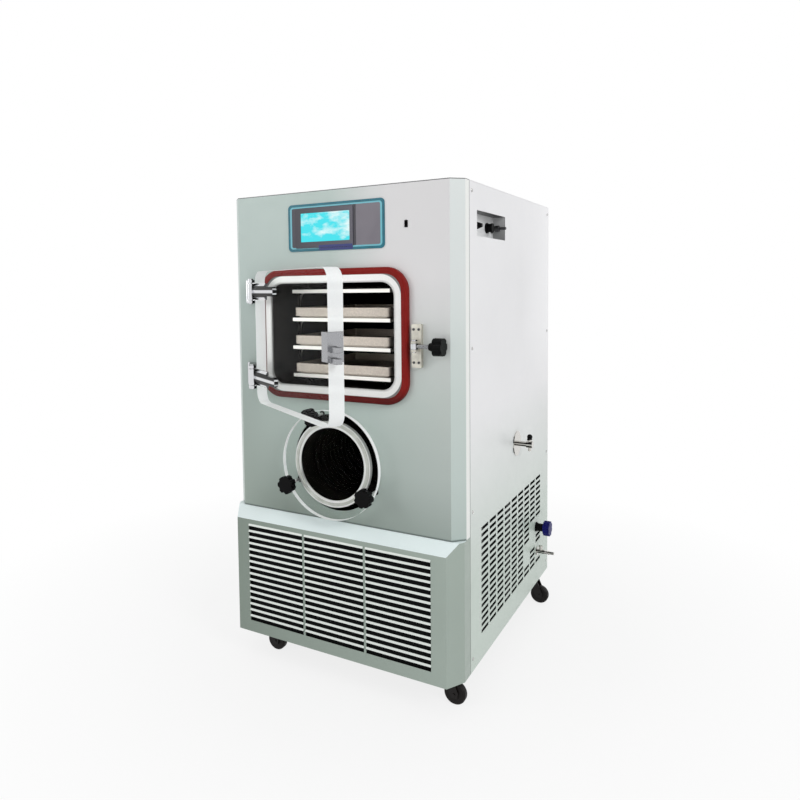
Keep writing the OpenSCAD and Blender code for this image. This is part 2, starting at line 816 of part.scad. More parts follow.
// A crowned strap on the door's face, tapering in a step to its rounded tip, with the knuckle
// that turns on the hinge pin
module hinge_arm() {
    back = door_out_y - seat - hinge_y;
    front = back - arm_t;
    crown_r = (pow(arm_h / 2, 2) + pow(arm_bulge, 2)) / (2 * arm_bulge);
    strap_len = arm_len * 0.58;
    difference() {
        union() {
            translate([0, 0, -arm_h / 2]) cylinder(r = knuckle_r, h = arm_h);
            intersection() {
                union() {
                    translate([0, front, -arm_h / 2]) cube([strap_len, arm_t, arm_h]);
                    translate([strap_len - cut, front, -arm_tip_h / 2])
                        cube([arm_len - arm_tip_h / 2 - strap_len + cut, arm_t, arm_tip_h]);
                    translate([arm_len - arm_tip_h / 2, front, 0]) rod_y(arm_tip_h / 2, arm_t);
                }
                translate([-cut, front + crown_r, 0]) rod_x(crown_r, arm_len + 2 * cut);
            }
        }
        translate([0, 0, -arm_h / 2 - cut]) cylinder(r = pin_r + pin_gap, h = arm_h + 2 * cut);
    }
}

module hinge_arms() {
    color([0.75, 0.76, 0.78]) swung(door_open) for (z = hinge_zs)
        translate([hinge_x, hinge_y, z]) hinge_arm();
}

// A plate on the panel, with an upper and a lower ear that reach forward to the pin
module hinge_brackets() {
    plate_y = front_y - hinge_y;
    root = bracket_w / 2 - 3;
    color([0.75, 0.76, 0.78]) for (z = hinge_zs)
        translate([hinge_x, hinge_y, z]) difference() {
            union() {
                translate([-bracket_offset, 0, 0])
                    front_slab(bracket_w, hinge_h, 2, plate_y - bracket_t, bracket_t);
                for (x = [-1, 1], dz = [-1, 1])
                    translate([-bracket_offset + x * (bracket_w / 2 - 6), plate_y - bracket_t - 2,
                        dz * (hinge_h / 2 - 6)]) rod_y(bracket_screw_r, 3);
                for (side = [-1, 1])
                    translate([0, 0, side * (hinge_h - ear_t) / 2 - ear_t / 2]) {
                        linear_extrude(ear_t) polygon([[-bracket_offset - root, plate_y - cut],
                            [-bracket_offset + root, plate_y - cut], [-2, knuckle_r + 5], [-2, 0],
                            [-knuckle_r + 1, -3]]);
                        cylinder(r = knuckle_r, h = ear_t);
                    }
            }
            translate([0, 0, -hinge_h / 2 - cut])
                cylinder(r = pin_r + pin_gap, h = hinge_h + 2 * cut);
        }
}

module pivot_pin(x, y, z, l) {
    head_r = pin_r + 2.5;
    head_t = 3;
    translate([x, y, z - l / 2 - 2]) {
        cylinder(r = pin_r, h = l + 2 + head_t);
        translate([0, 0, l + 2 + seat]) cylinder(r = head_r, h = head_t);
    }
}

module pivot_pins() {
    color([0.60, 0.61, 0.63]) {
        for (z = hinge_zs)
            pivot_pin(hinge_x, hinge_y, z, hinge_h);
        pivot_pin(latch_x, latch_y, latch_z, latch_eye_h + 2 * latch_ear_t + 2);
    }
}

// An angle on the door's free edge, with two prongs that the latch bolt swings between
module latch_fork() {
    prong_y = latch_y - latch_eye_r - 1 - fork_t;
    color([0.75, 0.76, 0.78]) swung(door_open) {
        translate([door_right + seat, door_out_y - seat - fork_base_t, fork_z - fork_h / 2])
            cube([fork_base_t, door_t + fork_base_t - 2, fork_h]);
        translate([door_right - fork_lap, door_out_y - seat - fork_base_t, fork_z - fork_h / 2])
            cube([fork_lap + seat + cut, fork_base_t, fork_h]);
        for (side = [-1, 1])
            translate([door_right + seat + cut, prong_y,
                latch_z + side * (fork_slot + fork_prong) / 2 - fork_prong / 2])
                cube([latch_x + 12 - door_right - seat - cut, fork_t, fork_prong]);
    }
}

module latch_block() {
    ear_z = latch_eye_h / 2 + 1;
    color([0.80, 0.79, 0.75]) difference() {
        union() {
            translate([latch_x, 0, latch_z])
                front_slab(latch_block_w, latch_block_h, 3, front_y - latch_block_t, latch_block_t);
            for (z = [latch_z - ear_z - latch_ear_t, latch_z + ear_z]) {
                translate([latch_x - latch_eye_r + 1, latch_y, z])
                    cube([2 * latch_eye_r - 2, front_y - cut - latch_y, latch_ear_t]);
                translate([latch_x, latch_y, z]) cylinder(r = latch_eye_r - 1, h = latch_ear_t);
            }
        }
        translate([latch_x, latch_y, latch_z - latch_block_h / 2])
            cylinder(r = pin_r + pin_gap, h = latch_block_h);
    }
}

module latch_bolt() {
    color([0.70, 0.71, 0.73]) translate([latch_x, latch_y, latch_z]) difference() {
        union() {
            translate([0, 0, -latch_eye_h / 2]) cylinder(r = latch_eye_r, h = latch_eye_h);
            rod_x(bolt_r, bolt_l);
        }
        translate([0, 0, -latch_eye_h]) cylinder(r = pin_r + pin_gap, h = 2 * latch_eye_h);
    }
}

module latch_knob() {
    color([0.06, 0.06, 0.06]) translate([latch_x + knob_neck_at, latch_y, latch_z])
        rotate([0, 90, 0]) difference() {
            union() {
                cylinder(r1 = bolt_r + 4, r2 = latch_grip_d / 2 - 9, h = knob_neck_l);
                translate([0, 0, knob_neck_l]) star_grip(latch_grip_d, knob_grip_l, 6);
            }
            translate([0, 0, -cut]) cylinder(r = bolt_r + pin_gap, h = bolt_l - knob_neck_at + 2 + cut);
        }
}

// ---- Condenser ----

module at_port() {
    translate([port_x, 0, port_z]) children();
}

module condenser_pot() {
    color([0.83, 0.83, 0.82]) difference() {
        union() {
            at_port() {
                translate([0, rim_y, 0]) rod_y(rim_r, rim_t);
                translate([0, rim_y, 0]) rod_y(pot_r + pot_wall, pot_d);
                for (a = stud_angles) rotate([0, -a, 0]) {
                    translate([pot_r, lug_y, -lug_t / 2])
                        cube([stud_pcd_r + stud_r + 4 - pot_r, lug_t, lug_t]);
                    translate([stud_pcd_r, lug_y + cut, 0]) rotate([90, 0, 0])
                        cylinder(r = stud_r, h = lug_y + cut - knob_y + knob_neck_t + knob_t - 6);
                }
            }
            translate([port_x, vapour_y, port_z])
                cylinder(r = vapour_r - seat, h = chamber_floor - port_z);
        }
        at_port() translate([0, rim_y - cut, 0]) rod_y(pot_r, pot_d - pot_wall + cut);
        at_port() rod_y(vacuum_r, rear_y);
        translate([port_x, vapour_y, port_z])
            cylinder(r = vapour_r - vapour_wall, h = chamber_floor - port_z + cut);
    }
}

// Turns of refrigerant tube along the pot's wall, joined by two headers
module condenser_coil() {
    first_y = rim_y + 70;
    color([0.72, 0.45, 0.30]) at_port() {
        for (i = [0:coil_turns - 1])
            translate([0, first_y + i * coil_pitch, 0]) rotate([90, 0, 0])
                rotate_extrude() translate([coil_turn_r, 0]) circle(coil_r);
        for (side = [-1, 1])
            translate([side * coil_turn_r, first_y, 0])
                rod_y(coil_r - 1, rim_y + pot_d - pot_wall - seat - first_y);
    }
}

module port_gasket() {
    color([0.85, 0.85, 0.82]) at_port() difference() {
        translate([0, rim_y - port_gasket_t, 0]) rod_y(rim_r - 4, port_gasket_t);
        translate([0, rim_y - port_gasket_t - cut, 0]) rod_y(rim_r - 12, port_gasket_t + 2 * cut);
    }
}

module port_cover() {
    color([0.80, 0.86, 0.84, 0.3]) at_port() difference() {
        translate([0, cover_y - cover_t, 0]) rod_y(cover_r, cover_t);
        for (a = stud_angles) rotate([0, -a, 0])
            translate([stud_pcd_r, cover_y - cover_t - cut, 0]) rod_y(stud_r + 1, cover_t + 2 * cut);
    }
}

module port_knob(i) {
    color([0.06, 0.06, 0.06]) at_port() rotate([0, -stud_angles[i - 1], 0])
        translate([stud_pcd_r, knob_y, 0]) rotate([90, 0, 0]) difference() {
            union() {
                cylinder(r = stud_r + 5, h = knob_neck_t);
                translate([0, 0, knob_neck_t]) star_grip(knob_d, knob_t, 7);
            }
            translate([0, 0, -cut])
                cylinder(r = stud_r + pin_gap, h = knob_neck_t + knob_t - 5 + cut);
        }
}

// ---- Right-hand fittings ----

module service_pocket() {
    flange = 10;
    color([0.84, 0.84, 0.85]) difference() {
        union() {
            translate([pocket_back - pocket_wall, pocket_y - pocket_w / 2 - pocket_wall,
                pocket_z - pocket_h / 2 - pocket_wall])
                cube([pocket_d + pocket_wall, pocket_w + 2 * pocket_wall, pocket_h + 2 * pocket_wall]);
            translate([pocket_x - pocket_wall, pocket_y - pocket_w / 2 - flange,
                pocket_z - pocket_h / 2 - flange])
                cube([pocket_wall, pocket_w + 2 * flange, pocket_h + 2 * flange]);
        }
        translate([pocket_back, pocket_y - pocket_w / 2, pocket_z - pocket_h / 2])
            cube([pocket_d + cut, pocket_w, pocket_h]);
        for (y = pocket_fitting_ys)
            translate([pocket_back - pocket_wall - cut, y, pocket_z])
                rod_x(pocket_hole_r + seat, pocket_wall + 2 * cut);
    }
}

// A fitting's shank through the pocket's wall and the collar that rests on it
module pocket_shank(y, collar) {
    translate([pocket_back - 16, y, pocket_z]) rod_x(pocket_hole_r, 17);
    translate([pocket_back + seat, y, pocket_z]) rod_x(collar, 4);
}

module vent_plug() {
    color([0.07, 0.07, 0.07]) {
        pocket_shank(pocket_fitting_ys[0], 13);
        translate([pocket_back + 4, pocket_fitting_ys[0], pocket_z]) rotate([0, 90, 0])
            cylinder(r1 = 12, r2 = 5, h = 20);
    }
}

// A round socket under its cap
module signal_socket() {
    y = pocket_fitting_ys[1];
    color([0.07, 0.07, 0.07]) {
        pocket_shank(y, 15);
        translate([pocket_back + 4, y, pocket_z]) rod_x(12, 12);
        translate([pocket_back + 15, y, pocket_z]) rod_x(13, 5);
    }
}

module pocket_nozzle() {
    y = pocket_fitting_ys[2];
    color([0.35, 0.35, 0.36]) {
        pocket_shank(y, 12);
        translate([pocket_back + 4, y, pocket_z]) rod_x(6, 10);
        translate([pocket_back + 12, y, pocket_z]) rod_x(9, 12);
        translate([pocket_back + 22, y, pocket_z]) rod_x(4, 22);
    }
}

// Escutcheon, pipe and a small valve body with its outlet underneath
module gas_valve() {
    color([0.74, 0.74, 0.73]) translate([half_w, gas_y, gas_z]) difference() {
        union() {
            rod_x(38, 3);
            translate([-24, 0, 0]) rod_x(gas_pipe_r, 58);
            translate([32, 0, 0]) rod_x(gas_pipe_r + 3, 18);
            translate([41, 0, -20]) cylinder(r = 5, h = 20);
            translate([41, 0, 0]) cylinder(r = 6, h = gas_pipe_r + 7);
        }
        translate([41, 0, gas_pipe_r]) cylinder(r = 3 + pin_gap, h = 10);
        translate([41, 0, -20 - cut]) cylinder(r = 3, h = 12);
    }
}

module gas_valve_handle() {
    color([0.05, 0.05, 0.05]) translate([half_w + 41, gas_y, gas_z + gas_pipe_r]) {
        translate([0, 0, seat]) cylinder(r = 3, h = 10);
        translate([0, 0, 7 + seat]) cylinder(r = 7, h = 4);
        difference() {
            translate([0, 0, 16]) sphere(8);
            translate([-10, -10, 26]) cube([20, 20, 10]);
        }
        translate([-4, -16, 8]) cube([8, 16, 5]);
    }
}

module drain_valve() {
    color([0.08, 0.08, 0.09]) translate([half_w, drain_y, drain_z]) {
        translate([-24, 0, 0]) rod_x(drain_pipe_r, 30);
        rod_x(16, 4);
        rod_x(13, 23);
        translate([22, 0, 0]) rod_x(5, 22);
    }
}

module drain_valve_knob() {
    color([0.05, 0.08, 0.45]) translate([half_w + 24, drain_y, drain_z]) rotate([0, 90, 0])
        difference() {
            union() {
                cylinder(r = 12, h = 6);
                translate([0, 0, 4]) star_grip(50, 21, 8);
            }
            translate([0, 0, -cut]) cylinder(r = 5 + pin_gap, h = 21 + cut);
        }
}

// Drain hose tap: a collar, a pipe with an upright stub, and a barbed end
module hose_tap() {
    barb = [28, 34, 40];
    color([0.72, 0.72, 0.70]) translate([half_w, tap_y, tap_z]) {
        rod_x(14, 3);
        translate([-24, 0, 0]) rod_x(tap_pipe_r, 50);
        translate([14, 0, 0]) cylinder(r = 5, h = 18);
        translate([14, 0, 16]) cylinder(r = 7, h = 4);
        translate([25, 0, 0]) rod_x(tap_end_r, 33);
        for (x = barb)
            translate([x, 0, 0]) rotate([0, 90, 0]) cylinder(r1 = tap_end_r + 2, r2 = tap_end_r, h = 5);
    }
}

// ---- Machinery ----

module compressor() {
    pan_z = tube_w + sheet_t;
    leg_h = 18;
    color([0.08, 0.08, 0.09]) translate([compressor_x, compressor_y, pan_z + seat]) {
        translate([0, 0, leg_h]) rotate_extrude()
            polygon([[0, 0], [78, 0], [84, 8], [84, 70], [87, 72], [87, 78], [84, 80], [84, 165],
                [70, 195], [40, 208], [0, 212]]);
        for (a = [30, 150, 270]) rotate([0, 0, a]) {
            translate([60, -18, leg_h]) cube([55, 36, 5]);
            translate([102, 0, 0]) cylinder(r = 11, h = leg_h + 1);
        }
        translate([0, 60, 190]) cylinder(r = 6, h = 60);
        translate([-76, 0, 150]) rotate([0, -90, 0]) cylinder(r = 5, h = 50);
    }
}

// Finned core behind a fan shroud, with the fan motor's shaft
module heat_exchanger() {
    w = 300;
    core_t = 50;
    shroud_t = 40;
    z0 = tube_w + sheet_t + seat;
    h = 2 * (fan_z - z0);
    color([0.60, 0.61, 0.62]) {
        difference() {
            translate([fan_x - w / 2, fan_y - shroud_t / 2, z0]) cube([w, shroud_t, h]);
            translate([fan_x, fan_y - shroud_t, fan_z]) rod_y(fan_r + 5, 2 * shroud_t);
        }
        difference() {
            translate([fan_x - w / 2, fan_y + shroud_t / 2, z0]) cube([w, core_t, h]);
            for (i = [0:14])
                translate([fan_x - w / 2 + 12 + i * 19, fan_y + shroud_t / 2 + 10, z0 + 12])
                    cube([13, core_t, h - 24]);
        }
        translate([fan_x, fan_y + 4, fan_z]) rod_y(20, shroud_t / 2);
        translate([fan_x, fan_y - 13, fan_z]) rod_y(5, 30);
    }
}

module fan_blades() {
    hub_r = 24;
    color([0.10, 0.10, 0.11]) translate([fan_x, fan_y - 16, fan_z]) difference() {
        union() {
            rod_y(hub_r, 19);
            intersection() {
                for (i = [0:4]) rotate([0, 72 * i, 0])
                    translate([hub_r - 2, 9, 0]) rotate([28, 0, 0]) translate([0, -1.5, -24])
                        cube([fan_r, 3, 48]);
                translate([0, -12, 0]) rod_y(fan_r, 44);
            }
        }
        translate([0, 2, 0]) rod_y(5 + pin_gap, 20);
    }
}

// A pipe from the back of the pot to a flanged end behind the cabinet
module vacuum_port() {
    pipe_y = rim_y + pot_d + seat;
    end_y = rear_y + vacuum_out;
    color([0.78, 0.78, 0.77]) translate([vacuum_x, 0, vacuum_z]) difference() {
        union() {
            translate([0, pipe_y, 0]) rod_y(vacuum_r + vacuum_wall, end_y - pipe_y);
            translate([0, pipe_y, 0]) rod_y(vacuum_flange_r, 5);
            translate([0, end_y - 4, 0]) rod_y(vacuum_flange_r, 4);
            translate([0, end_y - 8, 0]) rotate([-90, 0, 0])
                cylinder(r1 = vacuum_r + vacuum_wall, r2 = vacuum_flange_r, h = 4);
        }
        translate([0, pipe_y - cut, 0]) rod_y(vacuum_r, end_y - pipe_y + 2 * cut);
    }
}

// Recessed mains inlet with three flat pins
module power_inlet() {
    recess_w = 28;
    recess_h = 19;
    recess_d = 17;
    color([0.06, 0.06, 0.06]) translate([inlet_x, rear_y, inlet_z]) {
        difference() {
            union() {
                translate([-inlet_w / 2, 0, -inlet_h / 2]) cube([inlet_w, 3, inlet_h]);
                translate([-inlet_w / 2 + 4, -24, -inlet_h / 2 + 4])
                    cube([inlet_w - 8, 25, inlet_h - 8]);
            }
            translate([-recess_w / 2, 3 - recess_d, -recess_h / 2])
                cube([recess_w, recess_d + cut, recess_h]);
        }
        for (p = [[-8, -2], [0, 3], [8, -2]])
            translate([p[0] - 1, 3 - recess_d - cut, p[1] - 3]) cube([2, 9, 6]);
    }
}

// ---- Casters ----

// Mounting plates with their kingpins
module caster_plates() {
    color([0.35, 0.35, 0.36]) for (p = swivels) translate([p[0], p[1], 0]) {
        translate([-caster_plate_w / 2, -caster_plate_d / 2, -fork_plate_t])
            cube([caster_plate_w, caster_plate_d, fork_plate_t - pad_t]);
        translate([0, 0, -fork_plate_t - 10]) cylinder(r = pin_r, h = 10 + cut);
        translate([0, 0, -fork_plate_t - 10.5]) cylinder(r = pin_r + 3, h = 1.5);
    }
}

axle_z = wheel_d / 2 - caster_h;
axle_r = 4;
fork_head_t = 4;
fork_head_z = -fork_plate_t - seat - fork_head_t;

// Swivelling fork, trailing to +X, with its axle bolt
module caster_fork(i) {
    leg_y = wheel_w / 2 + 1.5;
    leg_t = 3;
    color([0.10, 0.10, 0.10]) translate([swivels[i - 1].x, swivels[i - 1].y, 0]) {
        difference() {
            union() {
                translate([0, 0, fork_head_z]) cylinder(r = 22, h = fork_head_t);
                translate([-6, -leg_y - leg_t, fork_head_z])
                    cube([caster_trail, 2 * (leg_y + leg_t), fork_head_t]);
                for (y = [-leg_y - leg_t, leg_y])
                    translate([-6, y, 0]) rotate([-90, 0, 0]) linear_extrude(leg_t)
                        polygon([[0, -fork_head_z], [caster_trail - 2, -axle_z + 9],
                            [caster_trail + 16, -axle_z + 9], [caster_trail + 18, -axle_z - 6],
                            [caster_trail - 2, -fork_head_z - fork_head_t],
                            [0, -fork_head_z - fork_head_t]]);
            }
            translate([0, 0, fork_head_z - cut])
                cylinder(r = pin_r + pin_gap, h = fork_head_t + 2 * cut);
        }
        translate([caster_trail, -leg_y - leg_t - 2, axle_z]) rod_y(axle_r, 2 * (leg_y + leg_t + 2));
    }
}

module caster_wheel(i) {
    color([0.05, 0.05, 0.05])
        translate([swivels[i - 1].x + caster_trail, swivels[i - 1].y, axle_z]) rotate([90, 0, 0])
            rotate_extrude() polygon([[axle_r + pin_gap, -wheel_w / 2 - 0.8],
                [10, -wheel_w / 2 - 0.8], [10, -wheel_w / 2], [wheel_d / 2 - 4, -wheel_w / 2],
                [wheel_d / 2, -wheel_w / 2 + 4], [wheel_d / 2, wheel_w / 2 - 4],
                [wheel_d / 2 - 4, wheel_w / 2], [10, wheel_w / 2], [10, wheel_w / 2 + 0.8],
                [axle_r + pin_gap, wheel_w / 2 + 0.8]]);
}

base_frame();
front_panel();
plinth_grille();
left_panel();
right_panel();
rear_panel();
top_panel();
panel_screws();
display_panel();
touch_screen();
usb_port();
chamber();
door_gasket();
shelf_rack();
shelf(1);  // shelf_1
shelf(2);  // shelf_2
shelf(3);  // shelf_3
shelf(4);  // shelf_4
tray(1);  // tray_1
tray(2);  // tray_2
tray(3);  // tray_3
shelf_hoses();
door_plate();
hinge_arms();
hinge_brackets();
pivot_pins();
latch_fork();
latch_block();
latch_bolt();
latch_knob();
condenser_pot();
condenser_coil();
port_gasket();
port_cover();
port_knob(1);  // port_knob_1
port_knob(2);  // port_knob_2
port_knob(3);  // port_knob_3
service_pocket();
vent_plug();
signal_socket();
pocket_nozzle();
gas_valve();
gas_valve_handle();
drain_valve();
drain_valve_knob();
hose_tap();
compressor();
heat_exchanger();
fan_blades();
vacuum_port();
power_inlet();
caster_plates();
caster_fork(1);  // caster_fork_1
caster_fork(2);  // caster_fork_2
caster_fork(3);  // caster_fork_3
caster_fork(4);  // caster_fork_4
caster_wheel(1);  // caster_wheel_1
caster_wheel(2);  // caster_wheel_2
caster_wheel(3);  // caster_wheel_3
caster_wheel(4);  // caster_wheel_4
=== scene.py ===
import json
import math

import bmesh
import bpy
from mathutils import Matrix, Vector


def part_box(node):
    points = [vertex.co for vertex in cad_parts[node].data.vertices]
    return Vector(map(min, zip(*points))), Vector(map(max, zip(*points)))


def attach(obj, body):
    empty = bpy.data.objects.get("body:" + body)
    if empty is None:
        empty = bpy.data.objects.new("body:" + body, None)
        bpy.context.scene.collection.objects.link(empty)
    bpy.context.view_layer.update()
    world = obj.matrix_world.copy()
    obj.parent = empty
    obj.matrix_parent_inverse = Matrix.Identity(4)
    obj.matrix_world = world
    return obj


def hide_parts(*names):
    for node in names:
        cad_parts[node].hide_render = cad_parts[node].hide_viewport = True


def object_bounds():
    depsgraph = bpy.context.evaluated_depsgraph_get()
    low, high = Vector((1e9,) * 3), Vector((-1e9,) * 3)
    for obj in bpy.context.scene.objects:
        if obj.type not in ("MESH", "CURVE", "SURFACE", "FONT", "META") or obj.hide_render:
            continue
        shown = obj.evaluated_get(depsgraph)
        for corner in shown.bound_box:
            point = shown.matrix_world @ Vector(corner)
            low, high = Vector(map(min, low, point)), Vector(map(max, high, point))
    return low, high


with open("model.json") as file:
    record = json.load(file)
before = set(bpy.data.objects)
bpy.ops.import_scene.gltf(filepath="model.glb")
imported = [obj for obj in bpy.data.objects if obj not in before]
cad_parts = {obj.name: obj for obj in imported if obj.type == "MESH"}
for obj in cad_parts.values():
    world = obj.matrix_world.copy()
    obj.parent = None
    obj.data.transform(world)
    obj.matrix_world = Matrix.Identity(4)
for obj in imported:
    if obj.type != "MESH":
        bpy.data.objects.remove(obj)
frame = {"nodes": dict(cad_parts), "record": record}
cad_lo, cad_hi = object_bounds()
MM = 0.001

# Sizes that the CAD part shares with the pieces made here, in metres
FLANGE_W = 24 * MM
FLANGE_T = 13 * MM
GASKET_W = 15 * MM
GASKET_ROUND = 5 * MM
CORNER_R = 38 * MM
POT_R = 102 * MM
HOSE_R = 4 * MM
SHEET = 2 * MM
TUBE_W = 30 * MM
POST_YS = (-0.3515, -0.28, -0.039, 0.4104)
DOOR_OPEN = math.radians(32)
door_face = (math.sin(DOOR_OPEN), math.cos(DOOR_OPEN), 0.0)

side_lo, side_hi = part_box("right_panel")
rear_lo, rear_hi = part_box("rear_panel")
cad_side, cad_back = side_hi.x, rear_hi.y

# The screen's picture: its shift from the screen's middle, and its size
VIEW_SHIFT = (4 * MM, 2 * MM)
VIEW_SIZE = (158 * MM, 80 * MM)

# Colours, in sRGB from 0 to 255
FRONT_TONE = (184, 199, 194)
FRONT_CLOUD = (180, 195, 190)
# Painted light: the front's lit right side and its highlight
FRONT_LIT_RIGHT = (200, 206, 202)
FRONT_HIGHLIGHT = (222, 221, 222)
# Painted highlight on the front's bevels
FRONT_BEVEL_LIT = (210, 226, 222)
# Painted shade on the front's lower part, and over its lower left
FRONT_SHADED_LOW = (150, 163, 154)
FRONT_SHADED_LOW_RIGHT = (168, 180, 175)
FRONT_SHADE = (96, 108, 98)
# Painted contact shadow at the front's foot
FRONT_CONTACT_SHADOW = (66, 80, 78)
BASE_TONE = (132, 145, 135)
# Painted light on the base: a lit right side, highlights on the hoods and the ledge, and shade in the slots
BASE_LIT_RIGHT = (164, 177, 168)
HOOD_HIGHLIGHT = (226, 232, 227)
LEDGE_HIGHLIGHT = (238, 250, 250)
SLOT_SHADE = (14, 15, 14)
SIDE_TONE = (238, 238, 240)
# Painted light on the side panels: shade low down, a highlight at the back, shadow in the front seam, shade
# inside
SIDE_LOW_SHADED = (196, 209, 200)
SIDE_BACK_LIT = (250, 250, 252)
SIDE_INSIDE_SHADE = (40, 41, 42)
SEAM_SHADE = (70, 74, 72)
POCKET_TONE = (232, 233, 234)
POCKET_SHADE = (36, 37, 39)
# Painted highlight on the front's side strips
STRIP_HIGHLIGHT = (240, 242, 239)
FLANGE_BRIGHT = (232, 231, 230)
FLANGE_DIM = (214, 213, 212)
# Painted shade on the flange's lips, and on the walls inside the chamber, inside the pot and behind the
# flange
FLANGE_LIP_SHADE = (70, 68, 68)
WALL_SHADE = (4, 3, 3)
WALL_SHADE_PALE = (24, 20, 17)
SEAL_TONE = (126, 20, 15)
SEAL_SHADE = (84, 12, 10)
FILM_TEAL = (20, 112, 130)
FILM_PALE = (112, 188, 202)
FILM_DARK = (58, 57, 68)
FILM_LINE = (46, 44, 54)
FILM_GREY = (126, 121, 129)
FILM_GREY_DEEP = (112, 108, 117)
TAB_NAVY = (30, 42, 112)
BEZEL_TONE = (62, 62, 74)
# Painted light on the screen's bezel: shaded left, lit right
BEZEL_SHADED_LEFT = (46, 46, 57)
BEZEL_LIT_RIGHT = (86, 84, 95)
SCREEN_BLACK = (8, 10, 12)
SCREEN_CYAN = (28, 224, 236)
SCREEN_CLOUD = (226, 250, 250)
SHELF_TONE = (176, 172, 165)
SHELF_DARK = (150, 146, 140)
SHELF_PALE = (182, 178, 171)
# Painted highlight on the shelves' front edges
SHELF_EDGE_LIT = (246, 243, 238)
BRAID_TONE = (150, 146, 140)
BRAID_DARK = (70, 66, 62)
BRAID_PALE = (186, 181, 174)
ACRYLIC_TONE = (250, 252, 251)
ACRYLIC_EDGE = (196, 200, 200)
ACRYLIC_EDGE_PALE = (214, 217, 217)
CHROME_TONE = (214, 215, 218)
# Painted reflection of a dark room in the chrome
CHROME_REFLECTED_DARK = (3, 3, 3)
CHROME_SMEAR = (150, 150, 152)
FOAM_TONE = (22, 23, 24)
FOAM_PORE = (6, 6, 6)
FOAM_PALE = (26, 27, 28)

# How far to each side of the middle the shading of the front and the base runs, in metres
FRONT_REACH = 0.33

# Strength of the painted glow on the acrylic edges, of the lit screen, and of the white surround as a lamp
EDGE_PAINTED_GLOW = 0.3
SCREEN_GLOW = 0.95
WORLD_LIGHT = 0.6


# ---- Node graphs ----

def linear(value):
    """An sRGB channel, 0 to 255, as a linear one, 0 to 1."""
    value /= 255
    return value / 12.92 if value <= 0.04045 else ((value + 0.055) / 1.055) ** 2.4


def rgb(red, green, blue):
    """An sRGB colour, 0 to 255, as the shader's linear colour."""
    return (linear(red), linear(green), linear(blue), 1.0)


BLACK, WHITE = rgb(0, 0, 0), rgb(255, 255, 255)


def scaled(tone, factor):
    """A colour with its sRGB values scaled."""
    return rgb(*(c * factor for c in tone))


class Shader:
    """One Principled material, with short calls that add and join its nodes."""

    def __init__(self, name, colour, rough=0.5, metal=0.0, **sockets):
        self.material = bpy.data.materials.new(name)
        self.material.use_nodes = True
        self.tree = self.material.node_tree
        self.bsdf = self.tree.nodes["Principled BSDF"]
        self.plug(self.bsdf.inputs["Base Color"], colour)
        self.plug(self.bsdf.inputs["Roughness"], rough)
        self.plug(self.bsdf.inputs["Metallic"], metal)
        for label, value in sockets.items():
            self.plug(self.bsdf.inputs[label.replace("_", " ").title().replace("Ior", "IOR")], value)
        coords = self.tree.nodes.new("ShaderNodeTexCoord")
        self.place = coords.outputs["Object"]
        self.facing = coords.outputs["Normal"]

    def plug(self, socket, value):
        if isinstance(value, bpy.types.NodeSocket):
            self.tree.links.new(value, socket)
        else:
            socket.default_value = value

    def add(self, kind, *values, **settings):
        node = self.tree.nodes.new("ShaderNode" + kind)
        for label, value in settings.items():
            setattr(node, label, value)
        for socket, value in zip(node.inputs, values):
            if value is not None:
                self.plug(socket, value)
        return node

    def calc(self, operation, *values):
        return self.add("Math", *values, operation=operation).outputs[0]

    def times(self, first, second):
        return self.calc("MULTIPLY", first, second)

    def plus(self, first, second):
        return self.calc("ADD", first, second)

    def minus(self, first, second):
        return self.calc("SUBTRACT", first, second)

    def most(self, first, second):
        return self.calc("MAXIMUM", first, second)

    def ramp(self, value, low, high, start=0.0, end=1.0):
        """start below low, end above high, and a straight line between."""
        return self.add("MapRange", value, low, high, start, end).outputs[0]

    def fade(self, value, low, high):
        """1 below low, 0 above high."""
        return self.ramp(value, low, high, 1.0, 0.0)

    def mix(self, share, first, second):
        """The first colour where share is 0, the second where it is 1."""
        node = self.add("Mix", data_type="RGBA")
        for index, value in ((0, share), (6, first), (7, second)):
            self.plug(node.inputs[index], value)
        return node.outputs[2]

    def noise(self, per_metre, detail=3.0, stretch=(1, 1, 1), rough=0.5):
        mapping = self.add("Mapping", self.place, vector_type="POINT")
        mapping.inputs["Scale"].default_value = stretch
        node = self.add("TexNoise")
        self.plug(node.inputs["Vector"], mapping.outputs[0])
        node.inputs["Scale"].default_value = per_metre
        node.inputs["Detail"].default_value = detail
        node.inputs["Roughness"].default_value = rough
        return node.outputs[0]

    def cells(self, per_metre):
        """The distance to the nearest of scattered points."""
        node = self.add("TexVoronoi")
        self.plug(node.inputs["Vector"], self.place)
        node.inputs["Scale"].default_value = per_metre
        return node.outputs[0]

    def axes(self, vector):
        return self.add("SeparateXYZ", vector).outputs

    def bump(self, height, strength, distance):
        node = self.add("Bump")
        node.inputs["Strength"].default_value = strength
        node.inputs["Distance"].default_value = distance
        self.plug(node.inputs["Height"], height)
        self.plug(self.bsdf.inputs["Normal"], node.outputs[0])

    def colour(self, value):
        self.plug(self.bsdf.inputs["Base Color"], value)

    def rough(self, value):
        self.plug(self.bsdf.inputs["Roughness"], value)

    def within(self, value, low, high, soft=0.3 * MM):
        """1 between low and high, 0 outside."""
        over = self.ramp(value, low - soft, low + soft)
        under = self.fade(value, high - soft, high + soft)
        return self.times(over, under)

    def plate(self, x, z, width, height, radius, soft=0.3 * MM):
        """1 inside a rounded rectangle that faces the front, 0 outside."""
        px, _, pz = self.axes(self.place)
        qx = self.minus(self.calc("ABSOLUTE", self.minus(px, x)), width / 2 - radius)
        qz = self.minus(self.calc("ABSOLUTE", self.minus(pz, z)), height / 2 - radius)
        outer_x = self.calc("POWER", self.most(qx, 0.0), 2.0)
        outer_z = self.calc("POWER", self.most(qz, 0.0), 2.0)
        outer = self.calc("SQRT", self.plus(outer_x, outer_z))
        inner = self.calc("MINIMUM", self.most(qx, qz), 0.0)
        far = self.minus(self.plus(outer, inner), radius)
        return self.fade(far, -soft, soft)


# ---- Materials ----

